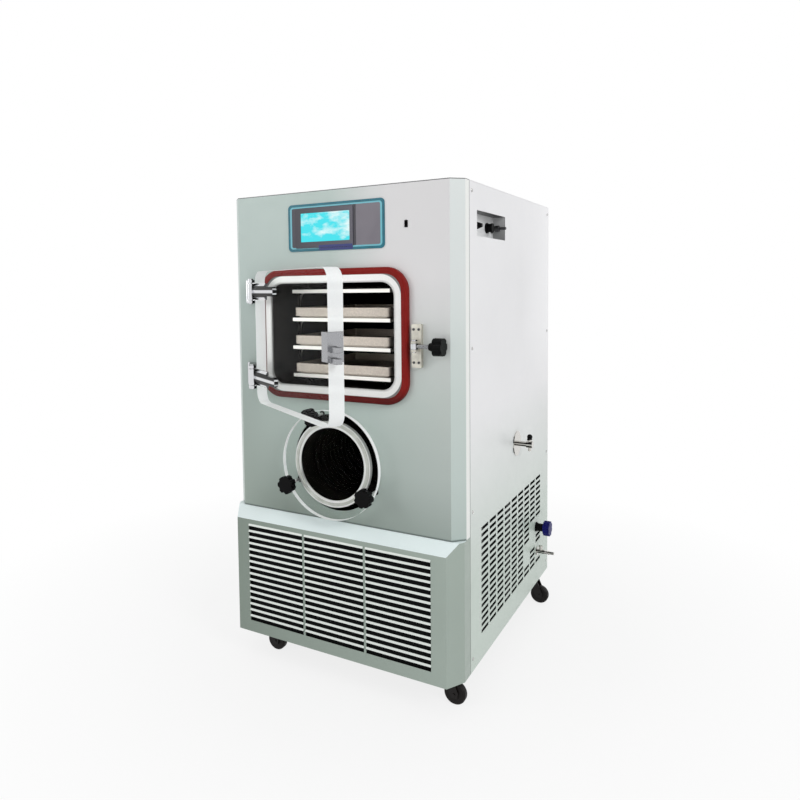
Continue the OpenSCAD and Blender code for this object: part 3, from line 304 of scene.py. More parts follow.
def paint(name, tone, shade=0.92, gloss=0.38, peel=0.12, shine=0.5):
    """Powder coat: a fine orange peel, faint cloudiness and fine specks."""
    s = Shader(name, rgb(*tone), gloss, coat_weight=0.08, specular_ior_level=shine)
    cloud = s.ramp(s.noise(2.2, 2.0), 0.35, 0.65)
    dark = scaled(tone, shade)
    specks = s.ramp(s.cells(420), 0.0, 0.35, 0.25, 0.0)
    s.colour(s.mix(specks, s.mix(cloud, rgb(*tone), dark), scaled(tone, 0.8)))
    s.rough(s.ramp(s.noise(35, 3.0), 0.3, 0.7, gloss - 0.05, gloss + 0.07))
    s.bump(s.noise(650, 2.0), peel, 0.3 * MM)
    return s


def front_paint():
    """The front's powder coat with painted light: painted shade low down and to the left, a painted highlight
    at the upper right, painted highlights on its bevels and side strips, and a painted shadow at its foot."""
    s = paint("front_paint", FRONT_TONE)
    x, _, z = s.axes(s.place)
    aside = s.calc("ABSOLUTE", s.axes(s.facing)[0])
    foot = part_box("front_panel")[0].z
    # Painted shade: the colour turns from the lit upper colour to the shaded lower one
    depth = s.fade(z, 0.36, 0.95)
    high = s.mix(s.ramp(s.noise(2.2, 2.0), 0.35, 0.65), rgb(*FRONT_TONE), rgb(*FRONT_CLOUD))
    # Painted light: the right side is lighter
    high = s.mix(s.ramp(x, 0.1, 0.36), high, rgb(*FRONT_LIT_RIGHT))
    # Painted highlight at the upper right
    shine = s.times(s.ramp(x, -0.02, 0.16), s.ramp(z, 0.72, 1.05))
    high = s.mix(shine, high, rgb(*FRONT_HIGHLIGHT))
    # Painted shade low down, with less of it to the right
    low = s.mix(s.ramp(x, -FRONT_REACH, FRONT_REACH), rgb(*FRONT_SHADED_LOW), rgb(*FRONT_SHADED_LOW_RIGHT))
    # Painted shade over the lower left, near the foot
    shade = s.times(s.ramp(x, -FRONT_REACH, -0.18), s.ramp(x, -0.1, 0.36, 0.65, 0.3))
    low = s.mix(s.times(shade, s.fade(z, foot, foot + 0.16)), low, rgb(*FRONT_SHADE))
    # Painted highlight on the bevels that face sideways
    bevel = s.ramp(aside, 0.2, 0.5, 0.0, 0.4)
    face = s.mix(bevel, s.mix(depth, high, low), rgb(*FRONT_BEVEL_LIT))
    # Painted contact shadow along the foot
    contact_shadow = s.ramp(z, foot + 2 * MM, foot + 5 * MM, 0.7, 0.0)
    face = s.mix(contact_shadow, face, rgb(*FRONT_CONTACT_SHADOW))
    # Painted highlight on the strips that face sideways
    lit_strip = s.ramp(aside, 0.9, 0.97)
    s.colour(s.mix(lit_strip, face, rgb(*STRIP_HIGHLIGHT)))
    return s.material


def base_paint():
    """The base's powder coat with painted light: lighter to the right, painted highlights on the ledge and
    hoods, and painted shade on the level faces inside the slots.
    """
    s = paint("base_paint", BASE_TONE, shade=0.95)
    ledge_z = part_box("plinth_grille")[1].z
    up = s.axes(s.facing)[2]
    x, _, z = s.axes(s.place)
    # Painted highlight on the hoods, whose faces tilt upwards
    tilted = s.times(s.ramp(up, 0.15, 0.28), s.fade(up, 0.5, 0.6))
    level = s.ramp(up, 0.7, 0.8)
    # Level faces: painted shade inside the slots, painted highlight on the ledge above them
    over_slots = s.ramp(z, ledge_z - 60 * MM, ledge_z - 50 * MM)
    flat = s.mix(over_slots, rgb(*SLOT_SHADE), rgb(*LEDGE_HIGHLIGHT))
    cloud = s.ramp(s.noise(3, 2.0), 0.3, 0.7)
    # Painted light: lighter to the right
    tone = s.mix(s.ramp(x, -FRONT_REACH, FRONT_REACH), rgb(*BASE_TONE), rgb(*BASE_LIT_RIGHT))
    body = s.mix(cloud, tone, s.mix(0.93, BLACK, tone))
    s.colour(s.mix(level, s.mix(tilted, body, rgb(*HOOD_HIGHLIGHT)), flat))
    return s.material


def side_paint():
    """Pale panels with painted light: green-tinted painted shade low down, a painted highlight high up at the
    back, a painted shadow in the seam at the front edge, and painted shade on the faces inside the cabinet."""
    s = paint("side_paint", SIDE_TONE, shade=0.965, gloss=0.34)
    x, y, z = s.axes(s.place)
    deep, shallow = 0.6 * SHEET, 0.3 * SHEET
    # Painted shade on the faces inside the cabinet
    inside = s.times(s.fade(s.calc("ABSOLUTE", x), cad_side - deep, cad_side - shallow),
                     s.fade(y, cad_back - deep, cad_back - shallow))
    inside = s.times(inside, s.fade(z, cad_hi.z - deep, cad_hi.z - shallow))
    cloud = s.ramp(s.noise(2.5, 2.0), 0.35, 0.65)
    outer = s.mix(cloud, rgb(*SIDE_TONE), scaled(SIDE_TONE, 0.98))
    # Painted highlight high up at the back
    back = s.times(s.ramp(y, 0.1, 0.42), s.ramp(z, 0.6, 0.9))
    outer = s.mix(back, outer, rgb(*SIDE_BACK_LIT))
    # Painted shade low down, tinted green
    outer = s.mix(s.fade(z, 0.24, 0.7), outer, rgb(*SIDE_LOW_SHADED))
    # Painted shadow in the seam at the front edge
    seam = s.ramp(y, side_lo.y + 2.5 * MM, side_lo.y + 3.5 * MM, 0.6, 0.0)
    outer = s.mix(seam, outer, rgb(*SEAM_SHADE))
    s.colour(s.mix(inside, outer, rgb(*SIDE_INSIDE_SHADE)))
    return s.material


def pocket_paint():
    """A pale recess whose top lies in shade, and whose right wall darkens towards its foot."""
    s = paint("pocket_paint", POCKET_TONE)
    lo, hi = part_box("service_pocket")
    facing = s.axes(s.facing)
    _, y, z = s.axes(s.place)
    under = s.fade(facing[2], -0.8, -0.5)
    middle = (lo.y + hi.y) / 2
    side = s.times(s.fade(facing[1], -0.8, -0.5), s.ramp(y, middle, middle + 1 * MM))
    foot = s.ramp(z, lo.z + 5 * MM, hi.z - 5 * MM, 0.8, 0.25)
    shade = s.most(under, s.times(side, foot))
    s.colour(s.mix(shade, rgb(*POCKET_TONE), rgb(*POCKET_SHADE)))
    return s.material


def steel(name, tone, grain=(1, 1, 1), rough=0.3, metal=1.0):
    """Brushed steel: fine scratches along the grain and faint cloudiness."""
    s = Shader(name, rgb(*tone), rough, metal)
    lines = s.noise(260, 4.0, grain)
    s.colour(s.mix(s.ramp(lines, 0.3, 0.7), scaled(tone, 0.9), rgb(*tone)))
    s.rough(s.ramp(lines, 0.3, 0.7, rough - 0.07, rough + 0.1))
    s.bump(lines, 0.08, 0.15 * MM)
    return s


def chamber_steel():
    """Bright flanges with painted shade along their lips; the walls behind them, inside and out, and the
    inside of the pot are painted dark as shade.
    """
    grain, rough, metal = (6, 1, 6), 0.32, 0.6
    s = steel("chamber_steel", FLANGE_BRIGHT, grain=grain, rough=rough, metal=metal)
    s.bsdf.inputs["Specular IOR Level"].default_value = 0.06
    x, y, z = s.axes(s.place)
    lo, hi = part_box("chamber")
    mid_x, mid_z = (lo.x + hi.x) / 2, (lo.z + hi.z) / 2
    width, height = hi.x - lo.x, hi.z - lo.z
    mouth_w, mouth_h = width - 2 * FLANGE_W, height - 2 * FLANGE_W
    room = s.plate(mid_x, mid_z, mouth_w + SHEET, mouth_h + SHEET, CORNER_R)
    room = s.times(room, s.ramp(y, lo.y + 3 * MM, lo.y + 7 * MM))

    cover_lo, cover_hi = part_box("port_cover")
    across = s.minus(x, (cover_lo.x + cover_hi.x) / 2)
    above = s.minus(z, (cover_lo.z + cover_hi.z) / 2)
    radius = s.calc("SQRT", s.plus(s.calc("POWER", across, 2.0), s.calc("POWER", above, 2.0)))
    pot = s.times(s.fade(radius, POT_R, POT_R + 1.5 * MM),
                  s.ramp(y, cover_hi.y + 4 * MM, cover_hi.y + 6 * MM))
    behind = s.ramp(y, lo.y + FLANGE_T, lo.y + FLANGE_T + 1 * MM)
    # Painted shade: the walls inside the mouth and the pot, and the walls behind the flange
    dark = s.most(s.most(room, pot), behind)

    rim, roll = 6 * MM, 3 * MM
    lines = s.noise(260, 4.0, grain)
    bright = s.mix(s.ramp(lines, 0.3, 0.7), rgb(*FLANGE_DIM), rgb(*FLANGE_BRIGHT))
    # Painted shade along the flange's outer edge and round its mouth, above the port cover
    whole = s.plate(mid_x, mid_z, width - rim, height - rim, CORNER_R + FLANGE_W, 0.8 * MM)
    mouth = s.plate(mid_x, mid_z, mouth_w + rim, mouth_h + rim, CORNER_R, roll)
    lip = s.most(s.times(s.minus(1.0, whole), 0.8), s.times(mouth, 0.5))
    over_pot = s.ramp(z, cover_hi.z, cover_hi.z + 1 * MM)
    bright = s.mix(s.times(lip, over_pot), bright, rgb(*FLANGE_LIP_SHADE))
    wall_cloud = s.ramp(s.noise(9, 2.0, (1, 1, 0.3)), 0.35, 0.65)
    s.colour(s.mix(dark, bright, s.mix(wall_cloud, rgb(*WALL_SHADE), rgb(*WALL_SHADE_PALE))))
    # Where shade is painted, the metal and the gloss are turned down too
    s.plug(s.bsdf.inputs["Metallic"], s.ramp(dark, 0.0, 1.0, metal, 0.0))
    s.rough(s.ramp(dark, 0.0, 1.0, rough, 0.5))
    return s.material


def shelf_alloy():
    """Machined plates: grey tops, and a painted highlight on the edges that face the front."""
    s = steel("shelf_alloy", SHELF_TONE, grain=(1, 8, 1), rough=0.36, metal=0.7)
    # Painted highlight on the edges that face the front
    edge = s.fade(s.axes(s.facing)[1], -0.8, -0.5)
    lines = s.noise(300, 3.0, (8, 1, 8))
    flat = s.mix(s.ramp(lines, 0.3, 0.7), rgb(*SHELF_DARK), rgb(*SHELF_PALE))
    s.colour(s.mix(edge, flat, rgb(*SHELF_EDGE_LIT)))
    return s.material


def rubber(name, tone, rough=0.6, grain=0.2, shine=0.35):
    """Moulded rubber: faintly cloudy, with a fine dull grain."""
    s = Shader(name, rgb(*tone), rough, specular_ior_level=shine)
    cloud = s.ramp(s.noise(24, 3.0), 0.3, 0.7)
    s.colour(s.mix(cloud, rgb(*tone), scaled(tone, 0.82)))
    s.rough(s.ramp(s.noise(90, 2.0), 0.3, 0.7, rough - 0.08, rough + 0.1))
    s.bump(s.noise(900, 3.0), grain, 0.25 * MM)
    return s


def seal_rubber():
    """Red silicone, in shade along the foot of the seal."""
    s = rubber("gasket_red", SEAL_TONE, rough=0.5, grain=0.12, shine=0.15)
    seal_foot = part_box("door_gasket")[0].z
    foot = s.fade(s.axes(s.place)[2], seal_foot + GASKET_W, seal_foot + 3 * GASKET_W)
    s.colour(s.mix(foot, rgb(*SEAL_TONE), rgb(*SEAL_SHADE)))
    return s.material


def braid():
    """Steel braid over the hoses: two crossing sets of fine strands."""
    s = Shader("hose_braid", rgb(*BRAID_TONE), rough=0.38, metal=0.6)
    waves = []
    for lean in (1, -1):
        mapping = s.add("Mapping", s.place)
        mapping.inputs["Rotation"].default_value = (lean * 0.7, 0, lean * 0.5)
        wave = s.add("TexWave", bands_direction="Z")
        s.plug(wave.inputs["Vector"], mapping.outputs[0])
        wave.inputs["Scale"].default_value = 190
        waves.append(wave.outputs[1])
    weave = s.most(*waves)
    s.colour(s.mix(weave, rgb(*BRAID_DARK), rgb(*BRAID_PALE)))
    s.bump(weave, 0.5, 0.4 * MM)
    return s.material


def acrylic(name, face):
    """Clear acrylic with polished faces; its frosted sawn edges carry a painted glow, an emission that stands
    in for the light that the sheet gathers.
    """
    s = Shader(name, rgb(*ACRYLIC_TONE), 0.02, transmission_weight=1.0, IOR=1.05, specular_ior_level=0.3)
    turned = s.add("VectorMath", s.facing, tuple(face), operation="DOT_PRODUCT").outputs["Value"]
    edge = s.fade(s.calc("ABSOLUTE", turned), 0.55, 0.8)
    grain = s.noise(220, 2.0, (1, 1, 5))
    sawn = s.mix(grain, rgb(*ACRYLIC_EDGE), rgb(*ACRYLIC_EDGE_PALE))
    s.colour(s.mix(edge, rgb(*ACRYLIC_TONE), sawn))
    s.rough(s.ramp(edge, 0.0, 1.0, 0.0, 0.35))
    s.plug(s.bsdf.inputs["Transmission Weight"], s.ramp(edge, 0.0, 1.0, 1.0, 0.1))
    # Painted glow: the sawn edges emit light
    s.plug(s.bsdf.inputs["Emission Color"], s.mix(edge, BLACK, WHITE))
    s.bsdf.inputs["Emission Strength"].default_value = EDGE_PAINTED_GLOW
    return s.material


def chrome(name, tone=CHROME_TONE, bands=11.0, rough=0.1, sides=3.0):
    """Polished plating with painted reflections: bright and dark bands, set by the way its curves face,
    stand in for the room round them.
    """
    s = Shader(name, rgb(*tone), rough, 1.0, specular_ior_level=0.06)
    facing = s.axes(s.facing)
    # Painted reflection: dark and bright bands by the way the surface faces; the metal is turned down in the
    # dark bands
    sideways = s.times(s.calc("POWER", facing[0], 4.0), sides)
    lean = s.plus(s.times(s.calc("ABSOLUTE", facing[2]), bands), sideways)
    band = s.ramp(s.calc("COSINE", lean), -0.1, 0.35)
    smear = s.ramp(s.noise(60, 2.0), 0.4, 0.7, 0.0, 0.02)
    s.colour(s.mix(smear, s.mix(band, rgb(*CHROME_REFLECTED_DARK), rgb(*tone)), rgb(*CHROME_SMEAR)))
    s.plug(s.bsdf.inputs["Metallic"], s.ramp(band, 0.0, 1.0, 0.1, 1.0))
    s.rough(s.ramp(s.noise(160, 3.0), 0.3, 0.7, rough, rough + 0.1))
    return s.material


def plastic(name, tone, rough=0.42, grain=0.15, shine=0.15):
    """Moulded plastic with a fine spark-eroded grain."""
    s = Shader(name, rgb(*tone), rough, specular_ior_level=shine)
    cloud = s.ramp(s.noise(40, 2.0), 0.3, 0.7)
    s.colour(s.mix(cloud, rgb(*tone), rgb(*(min(255, c * 1.25 + 3) for c in tone))))
    s.rough(s.ramp(s.noise(220, 2.0), 0.3, 0.7, rough - 0.08, rough + 0.1))
    s.bump(s.noise(1400, 2.0), grain, 0.12 * MM)
    return s.material


def alloy(name, tone, rough=0.42, metal=0.85, pits=0.2):
    """Cast or turned metal with a fine bead-blasted skin."""
    s = Shader(name, rgb(*tone), rough, metal)
    s.colour(s.mix(s.ramp(s.noise(50, 3.0), 0.3, 0.7), scaled(tone, 0.85), rgb(*tone)))
    s.rough(s.ramp(s.noise(120, 3.0), 0.3, 0.7, rough - 0.08, rough + 0.1))
    s.bump(s.noise(1100, 2.0), pits, 0.15 * MM)
    return s.material


def with_tab(s, tone):
    """The tone, under a navy tab that crosses the lower edge of the film and of the screen's frame."""
    lo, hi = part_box("display_panel")
    middle = (lo.x + hi.x) / 2
    shift, rise, width, height, corner = 3 * MM, 8.5 * MM, 108 * MM, 15 * MM, 2 * MM
    tab = s.plate(middle + shift, lo.z + rise, width, height, corner)
    return s.mix(tab, tone, rgb(*TAB_NAVY))


def overlay_film():
    """The printed film round the screen: teal rim, pale line, grey field and a navy tab."""
    lo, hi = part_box("display_panel")
    x, z, width, height = (lo.x + hi.x) / 2, (lo.z + hi.z) / 2, hi.x - lo.x, hi.z - lo.z
    s = Shader("overlay_film", rgb(*FILM_TEAL), 0.36, coat_weight=0.15, specular_ior_level=0.3)
    cloud = s.ramp(s.noise(30, 2.0), 0.3, 0.7)
    rim = s.mix(cloud, rgb(*FILM_TEAL), scaled(FILM_TEAL, 0.86))
    pale = s.plate(x, z, width - 14 * MM, height - 14 * MM, 9 * MM)
    field = s.plate(x, z, width - 25 * MM, height - 22 * MM, 5 * MM)
    tone = s.mix(pale, rim, rgb(*FILM_PALE))
    px = s.axes(s.place)[0]
    line_start, line_end = x + 59 * MM, x + 67 * MM
    grey = s.mix(s.ramp(s.noise(9, 2.0), 0.3, 0.7), rgb(*FILM_GREY), rgb(*FILM_GREY_DEEP))
    dark = s.fade(px, line_start - 2 * MM, line_start)
    tone = s.mix(field, tone, s.mix(dark, grey, rgb(*FILM_DARK)))
    line = s.times(field, s.within(px, line_start, line_end))
    s.colour(with_tab(s, s.mix(line, tone, rgb(*FILM_LINE))))
    s.bump(s.noise(500, 2.0), 0.06, 0.1 * MM)
    return s.material


def screen_face():
    """A dark bezel with painted light that makes it lighter to the right, round a lit display that shows
    soft pale clouds on cyan.
    """
    lo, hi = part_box("touch_screen")
    x, z = (lo.x + hi.x) / 2, (lo.z + hi.z) / 2
    s = Shader("screen_face", rgb(*BEZEL_TONE), 0.3, coat_weight=0.1, specular_ior_level=0.3)
    lit = s.plate(x + VIEW_SHIFT[0], z + VIEW_SHIFT[1], VIEW_SIZE[0], VIEW_SIZE[1], 1.5 * MM)
    px, y, pz = s.axes(s.place)
    lit = s.times(lit, s.within(y, lo.y + 0.5 * MM, lo.y + 2.5 * MM))
    rise = s.plus(s.ramp(px, x - 0.08, x + 0.09, -0.07, 0.07),
                  s.ramp(pz, z - 0.04, z + 0.04, -0.06, 0.06))
    clouds = s.ramp(s.plus(s.noise(24, 4.0, (0.7, 1, 1.5), 0.6), rise), 0.46, 0.68)
    picture = s.mix(clouds, rgb(*SCREEN_CYAN), rgb(*SCREEN_CLOUD))
    # Painted light: the bezel lightens from left to right
    bezel = with_tab(s, s.mix(s.ramp(px, lo.x, hi.x), rgb(*BEZEL_SHADED_LEFT), rgb(*BEZEL_LIT_RIGHT)))
    s.colour(s.mix(lit, bezel, rgb(*SCREEN_BLACK)))
    s.plug(s.bsdf.inputs["Emission Color"], s.mix(lit, BLACK, picture))
    s.bsdf.inputs["Emission Strength"].default_value = SCREEN_GLOW
    s.bump(s.noise(700, 2.0), 0.04, 0.1 * MM)
    return s.material


FINISHES = {
    "cabinet_front_paint": front_paint(),
    "cabinet_base_paint": base_paint(),
    "cabinet_side_paint": side_paint(),
    "frame_paint": paint("frame_paint", (13, 14, 15), shade=0.9, gloss=0.5, peel=0.12, shine=0.15).material,
    "screw_steel": alloy("screw_steel", (206, 206, 204), rough=0.25, metal=1.0, pits=0.05),
    "overlay_film": overlay_film(),
    "screen_plastic": screen_face(),
    "black_plastic": plastic("black_plastic", (5, 5, 6), rough=0.45, grain=0.15, shine=0.08),
    "chamber_steel": chamber_steel(),
    "shelf_alloy": shelf_alloy(),
    "tray_steel": steel("tray_steel", (206, 195, 184), grain=(1, 7, 1), rough=0.4, metal=0.45).material,
    "gasket_red": seal_rubber(),
    "hose_rubber": braid(),
    "clear_acrylic": acrylic("cover_acrylic", (0.0, 1.0, 0.0)),
    "hinge_chrome": chrome("hinge_chrome"),
    "latch_alloy": alloy("latch_alloy", (222, 218, 206), rough=0.36, metal=0.6),
    # Painted shade: the copper coil deep in the pot is coloured near-black
    "coil_copper": rubber("coil_copper", (7, 5, 4), rough=0.7, grain=0.1, shine=0.05).material,
    "gasket_pale": rubber("gasket_pale", (206, 206, 200)).material,
    "pocket_paint": pocket_paint(),
    "valve_chrome": chrome("valve_chrome", (205, 203, 198), bands=7.0, rough=0.16, sides=0.6),
    "nozzle_metal": alloy("nozzle_metal", (96, 96, 98), rough=0.34, metal=0.9),
    "knob_blue": plastic("knob_blue", (10, 12, 88), rough=0.4, grain=0.15, shine=0.2),
    "compressor_paint": paint("compressor_paint", (26, 26, 28), shade=0.9, gloss=0.45).material,
    "exchanger_alloy": steel("exchanger_alloy", (150, 152, 154), grain=(1, 1, 9), rough=0.45).material,
    "fan_plastic": plastic("fan_plastic", (30, 30, 31), rough=0.5),
    "vacuum_steel": steel("vacuum_steel", (196, 196, 194), grain=(1, 6, 1), rough=0.3).material,
    "caster_zinc": alloy("caster_zinc", (140, 140, 142), rough=0.4, metal=0.9),
    "caster_paint": paint("caster_paint", (18, 13, 12),
                          shade=0.85, gloss=0.4, peel=0.3, shine=0.2).material,
    "wheel_rubber": rubber("wheel_rubber", (16, 11, 10), rough=0.5, grain=0.3, shine=0.2).material,
}


def finish_cad():
    """Gives every CAD node the material of its slot in the record, and two of them their own."""
    def finish(node, material):
        mesh = frame["nodes"][node].data
        mesh.materials.clear()
        mesh.materials.append(material)

    for row in frame["record"]["subparts"]:
        finish(row["node"], FINISHES[row["material_slot"]])
    finish("door_plate", acrylic("door_acrylic", door_face))
    finish("latch_fork", chrome("fork_chrome", (164, 165, 168), bands=9.0, rough=0.2, sides=1.2))


# Edges sharper than this are rounded, by the radius that stands before each list, in millimetres
SHARP_DEG = 32
EDGES = {
    0.4: ["display_panel", "usb_port", "pivot_pins", "power_inlet", "service_pocket"],
    0.8: ["touch_screen", "shelf_rack", "shelf_1", "shelf_2", "shelf_3", "shelf_4", "tray_1", "tray_2",
          "tray_3", "hinge_brackets", "latch_bolt", "gas_valve", "gas_valve_handle", "hose_tap",
          "drain_valve", "vacuum_port", "vent_plug", "signal_socket", "pocket_nozzle", "caster_plates"],
    1.5: ["chamber", "hinge_arms", "latch_fork", "latch_block", "condenser_pot",
          "caster_fork_1", "caster_fork_2", "caster_fork_3", "caster_fork_4"],
    2.2: ["latch_knob", "port_knob_1", "port_knob_2", "port_knob_3", "drain_valve_knob",
          "caster_wheel_1", "caster_wheel_2", "caster_wheel_3", "caster_wheel_4"],
}


def round_edges(piece, width, steps=2):
    """Welds a mesh, rounds its sharp edges and keeps its flat faces flat to the light."""
    weld = piece.modifiers.new("weld", "WELD")
    weld.merge_threshold = 0.005 * MM
    bevel = piece.modifiers.new("edges", "BEVEL")
    bevel.width = width * MM
    bevel.segments = steps
    bevel.limit_method = "ANGLE"
    bevel.angle_limit = math.radians(SHARP_DEG)
    bevel.harden_normals = False
    flat = piece.modifiers.new("normals", "WEIGHTED_NORMAL")
    flat.mode = "FACE_AREA"
    flat.weight = 90
    flat.keep_sharp = False


def new_piece(name, bm, body, slot, material=None):
    """A visible piece that rides on a body."""
    mesh = bpy.data.meshes.new(name)
    bm.to_mesh(mesh)
    bm.free()
    mesh.materials.append(material or FINISHES[slot])
    piece = bpy.data.objects.new(name, mesh)
    bpy.context.scene.collection.objects.link(piece)
    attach(piece, body)
    return piece


def smooth(piece, sharp_deg):
    piece.data.shade_smooth()
    piece.data.set_sharp_from_angle(angle=math.radians(sharp_deg))


def facing_turn(direction):
    """A rotation that takes local +Z to a direction."""
    return Vector(direction).to_track_quat("Z", "X").to_matrix().to_4x4()


def circle_points(radius, z, sides):
    for i in range(sides):
        angle = 2 * math.pi * i / sides
        yield Vector((radius * math.cos(angle), radius * math.sin(angle), z))


def bridge(bm, near, far):
    """Faces between two closed rows of as many points."""
    for i in range(len(near)):
        j = (i + 1) % len(near)
        bm.faces.new((near[i], far[i], far[j], near[j]))


def islands(node):
    """The box of each separate solid of a CAD node."""
    bm = bmesh.new()
    bm.from_mesh(frame["nodes"][node].data)
    bmesh.ops.remove_doubles(bm, verts=bm.verts, dist=0.01 * MM)
    left = set(bm.verts)
    found = []
    while left:
        group, front = set(), [left.pop()]
        while front:
            vertex = front.pop()
            group.add(vertex)
            for edge in vertex.link_edges:
                other = edge.other_vert(vertex)
                if other in left:
                    left.remove(other)
                    front.append(other)
        cos = [v.co for v in group]
        found.append((Vector(map(min, *cos)), Vector(map(max, *cos))))
    bm.free()
    return sorted(found, key=lambda b: tuple(b[0]))


# ---- Pieces ----

def cross_head(bm, matrix, radius, height, rings=9, sides=32):
    """A domed screw head with a cross recess, its dome towards local +Z."""
    slot_half, slot_reach, slot_deep = radius * 0.11, radius * 0.6, height * 0.45
    dome = 0.94
    rows = []
    for ring in range(rings + 1):
        share = ring / rings
        row = []
        for side in range(sides if ring else 1):
            angle = 2 * math.pi * side / sides
            x, y = radius * share * math.cos(angle), radius * share * math.sin(angle)
            z = height * math.sqrt(1 - dome * share ** 2)
            near = min(abs(x), abs(y)) < slot_half and max(abs(x), abs(y)) < slot_reach
            row.append(bm.verts.new(matrix @ Vector((x, y, z - (slot_deep if near else 0)))))
        rows.append(row)
    skirt = [bm.verts.new(matrix @ point) for point in circle_points(radius, 0, sides)]
    for i in range(sides):
        bm.faces.new((rows[0][0], rows[1][i], rows[1][(i + 1) % sides]))
    for near, far in zip(rows[1:], rows[2:] + [skirt]):
        bridge(bm, near, far)
    bm.faces.new(list(reversed(skirt)))


def screw_heads():
    """Cross heads on the rear and side sheets, each turned its own way."""
    bm = bmesh.new()
    head_t, head_r = 2.5 * MM, 5 * MM
    turn_z, turn_y = 37, 11
    for lo, hi in islands("panel_screws"):
        centre = (lo + hi) / 2
        if hi.y > cad_back:
            out = (0, 1, 0)
            seat = Vector((centre.x, cad_back, centre.z))
        else:
            side = math.copysign(1, centre.x)
            out = (side, 0, 0)
            seat = Vector((side * cad_side, centre.y, centre.z))
        spin = Matrix.Rotation(centre.z * turn_z + centre.y * turn_y, 4, "Z")
        cross_head(bm, Matrix.Translation(seat) @ facing_turn(out) @ spin, head_r, head_t)
    piece = new_piece("screw_heads", bm, "cabinet", "screw_steel")
    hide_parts("panel_screws")
    smooth(piece, 40)


def corner_path(width, height, radius, steps=14):
    """Points of a rounded rectangle and their outward directions, in X and Z."""
    path = []
    for quarter, (sx, sz) in enumerate(((1, 1), (-1, 1), (-1, -1), (1, -1))):
        for i in range(steps + 1):
            angle = math.pi / 2 * (quarter + i / steps)
            out = Vector((math.cos(angle), math.sin(angle)))
            path.append((Vector((sx * (width / 2 - radius), sz * (height / 2 - radius))) + radius * out, out))
    return path


def swept_ring(name, centre, path, profile, body, slot):
    """A closed ring: the profile's points are (outwards, along Y) from the path."""
    bm = bmesh.new()
    rows = [[bm.verts.new((centre.x + point.x + out.x * u, v, centre.z + point.y + out.y * u))
             for u, v in profile] for point, out in path]
    for near, far in zip(rows, rows[1:] + rows[:1]):
        bridge(bm, near, far)
    bmesh.ops.recalc_face_normals(bm, faces=bm.faces)
    piece = new_piece(name, bm, body, slot)
    smooth(piece, 50)
    return piece


def round_off(corners, radius, steps=5):
    """A closed outline with each corner rounded by its own radius factor."""
    outline = []
    for i, (point, factor) in enumerate(corners):
        before, after = Vector(corners[i - 1][0]), Vector(corners[(i + 1) % len(corners)][0])
        point = Vector(point)
        reach = radius * factor
        if not reach:
            outline.append(tuple(point))
            continue
        start = point + (before - point).normalized() * reach
        end = point + (after - point).normalized() * reach
        for k in range(steps + 1):
            t = k / steps
            outline.append(tuple((1 - t) ** 2 * start + 2 * t * (1 - t) * point + t ** 2 * end))
    return outline


def door_seal():
    """The red seal: rounded outside, with a raised sealing bead on its face."""
    lo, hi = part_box("door_gasket")
    centre = (lo + hi) / 2
    clear, grip = 0.3 * MM, 3 * MM
    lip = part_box("chamber")[0].y - 0.2 * MM
    face = lo.y + 0.6 * MM
    bead, crown, root = 6 * MM, 1.5 * MM, 3 * MM
    corners = [
        ((-grip, lip), 0.2), ((-grip, face), 0.25), ((bead - root, face), 0.1),
        ((bead - crown, lo.y), 0.3), ((bead + crown, lo.y), 0.3), ((bead + root, face), 0.1),
        ((GASKET_W, face), 1.0), ((GASKET_W, hi.y), 0.2), ((clear, hi.y), 0.1), ((clear, lip), 0.0)]
    path = corner_path(hi.x - lo.x - 2 * GASKET_W, hi.z - lo.z - 2 * GASKET_W, CORNER_R + FLANGE_W / 2)
    profile = round_off(corners, GASKET_ROUND)
    piece = swept_ring("door_seal", centre, path, profile, "cabinet", "gasket_red")
    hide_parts("door_gasket")


def foam():
    """Dark filter foam with open pores."""
    s = Shader("filter_foam", rgb(*FOAM_TONE), 0.95, specular_ior_level=0.1)
    pores = s.cells(500)
    s.colour(s.mix(s.ramp(pores, 0.1, 0.5), rgb(*FOAM_PORE), rgb(*FOAM_PALE)))
    s.bump(pores, 0.6, 0.6 * MM)
    return s.material


def foam_mat(name, origin, along, up, across, height, material):
    """A filter mat behind a panel's slots, with a soft wave in both directions."""
    step, depth, wave, thickness = 8 * MM, 3 * MM, 2.1, 3 * MM
    columns, rows = max(4, round(across / step)), max(4, round(height / step))
    origin, along, up = Vector(origin), Vector(along), Vector(up)
    out = along.cross(up)
    bm = bmesh.new()
    grid = [[bm.verts.new(origin + along * (across * i / columns) + up * (height * j / rows)
                          + out * depth * math.sin(wave * i) * math.sin(wave * j))
             for i in range(columns + 1)] for j in range(rows + 1)]
    for low, high in zip(grid, grid[1:]):
        for i in range(columns):
            bm.faces.new((low[i], low[i + 1], high[i + 1], high[i]))
    piece = new_piece(name, bm, "cabinet", "fan_plastic", material)
    piece.data.shade_smooth()
    thick = piece.modifiers.new("thickness", "SOLIDIFY")
    thick.thickness = thickness
    thick.offset = 0


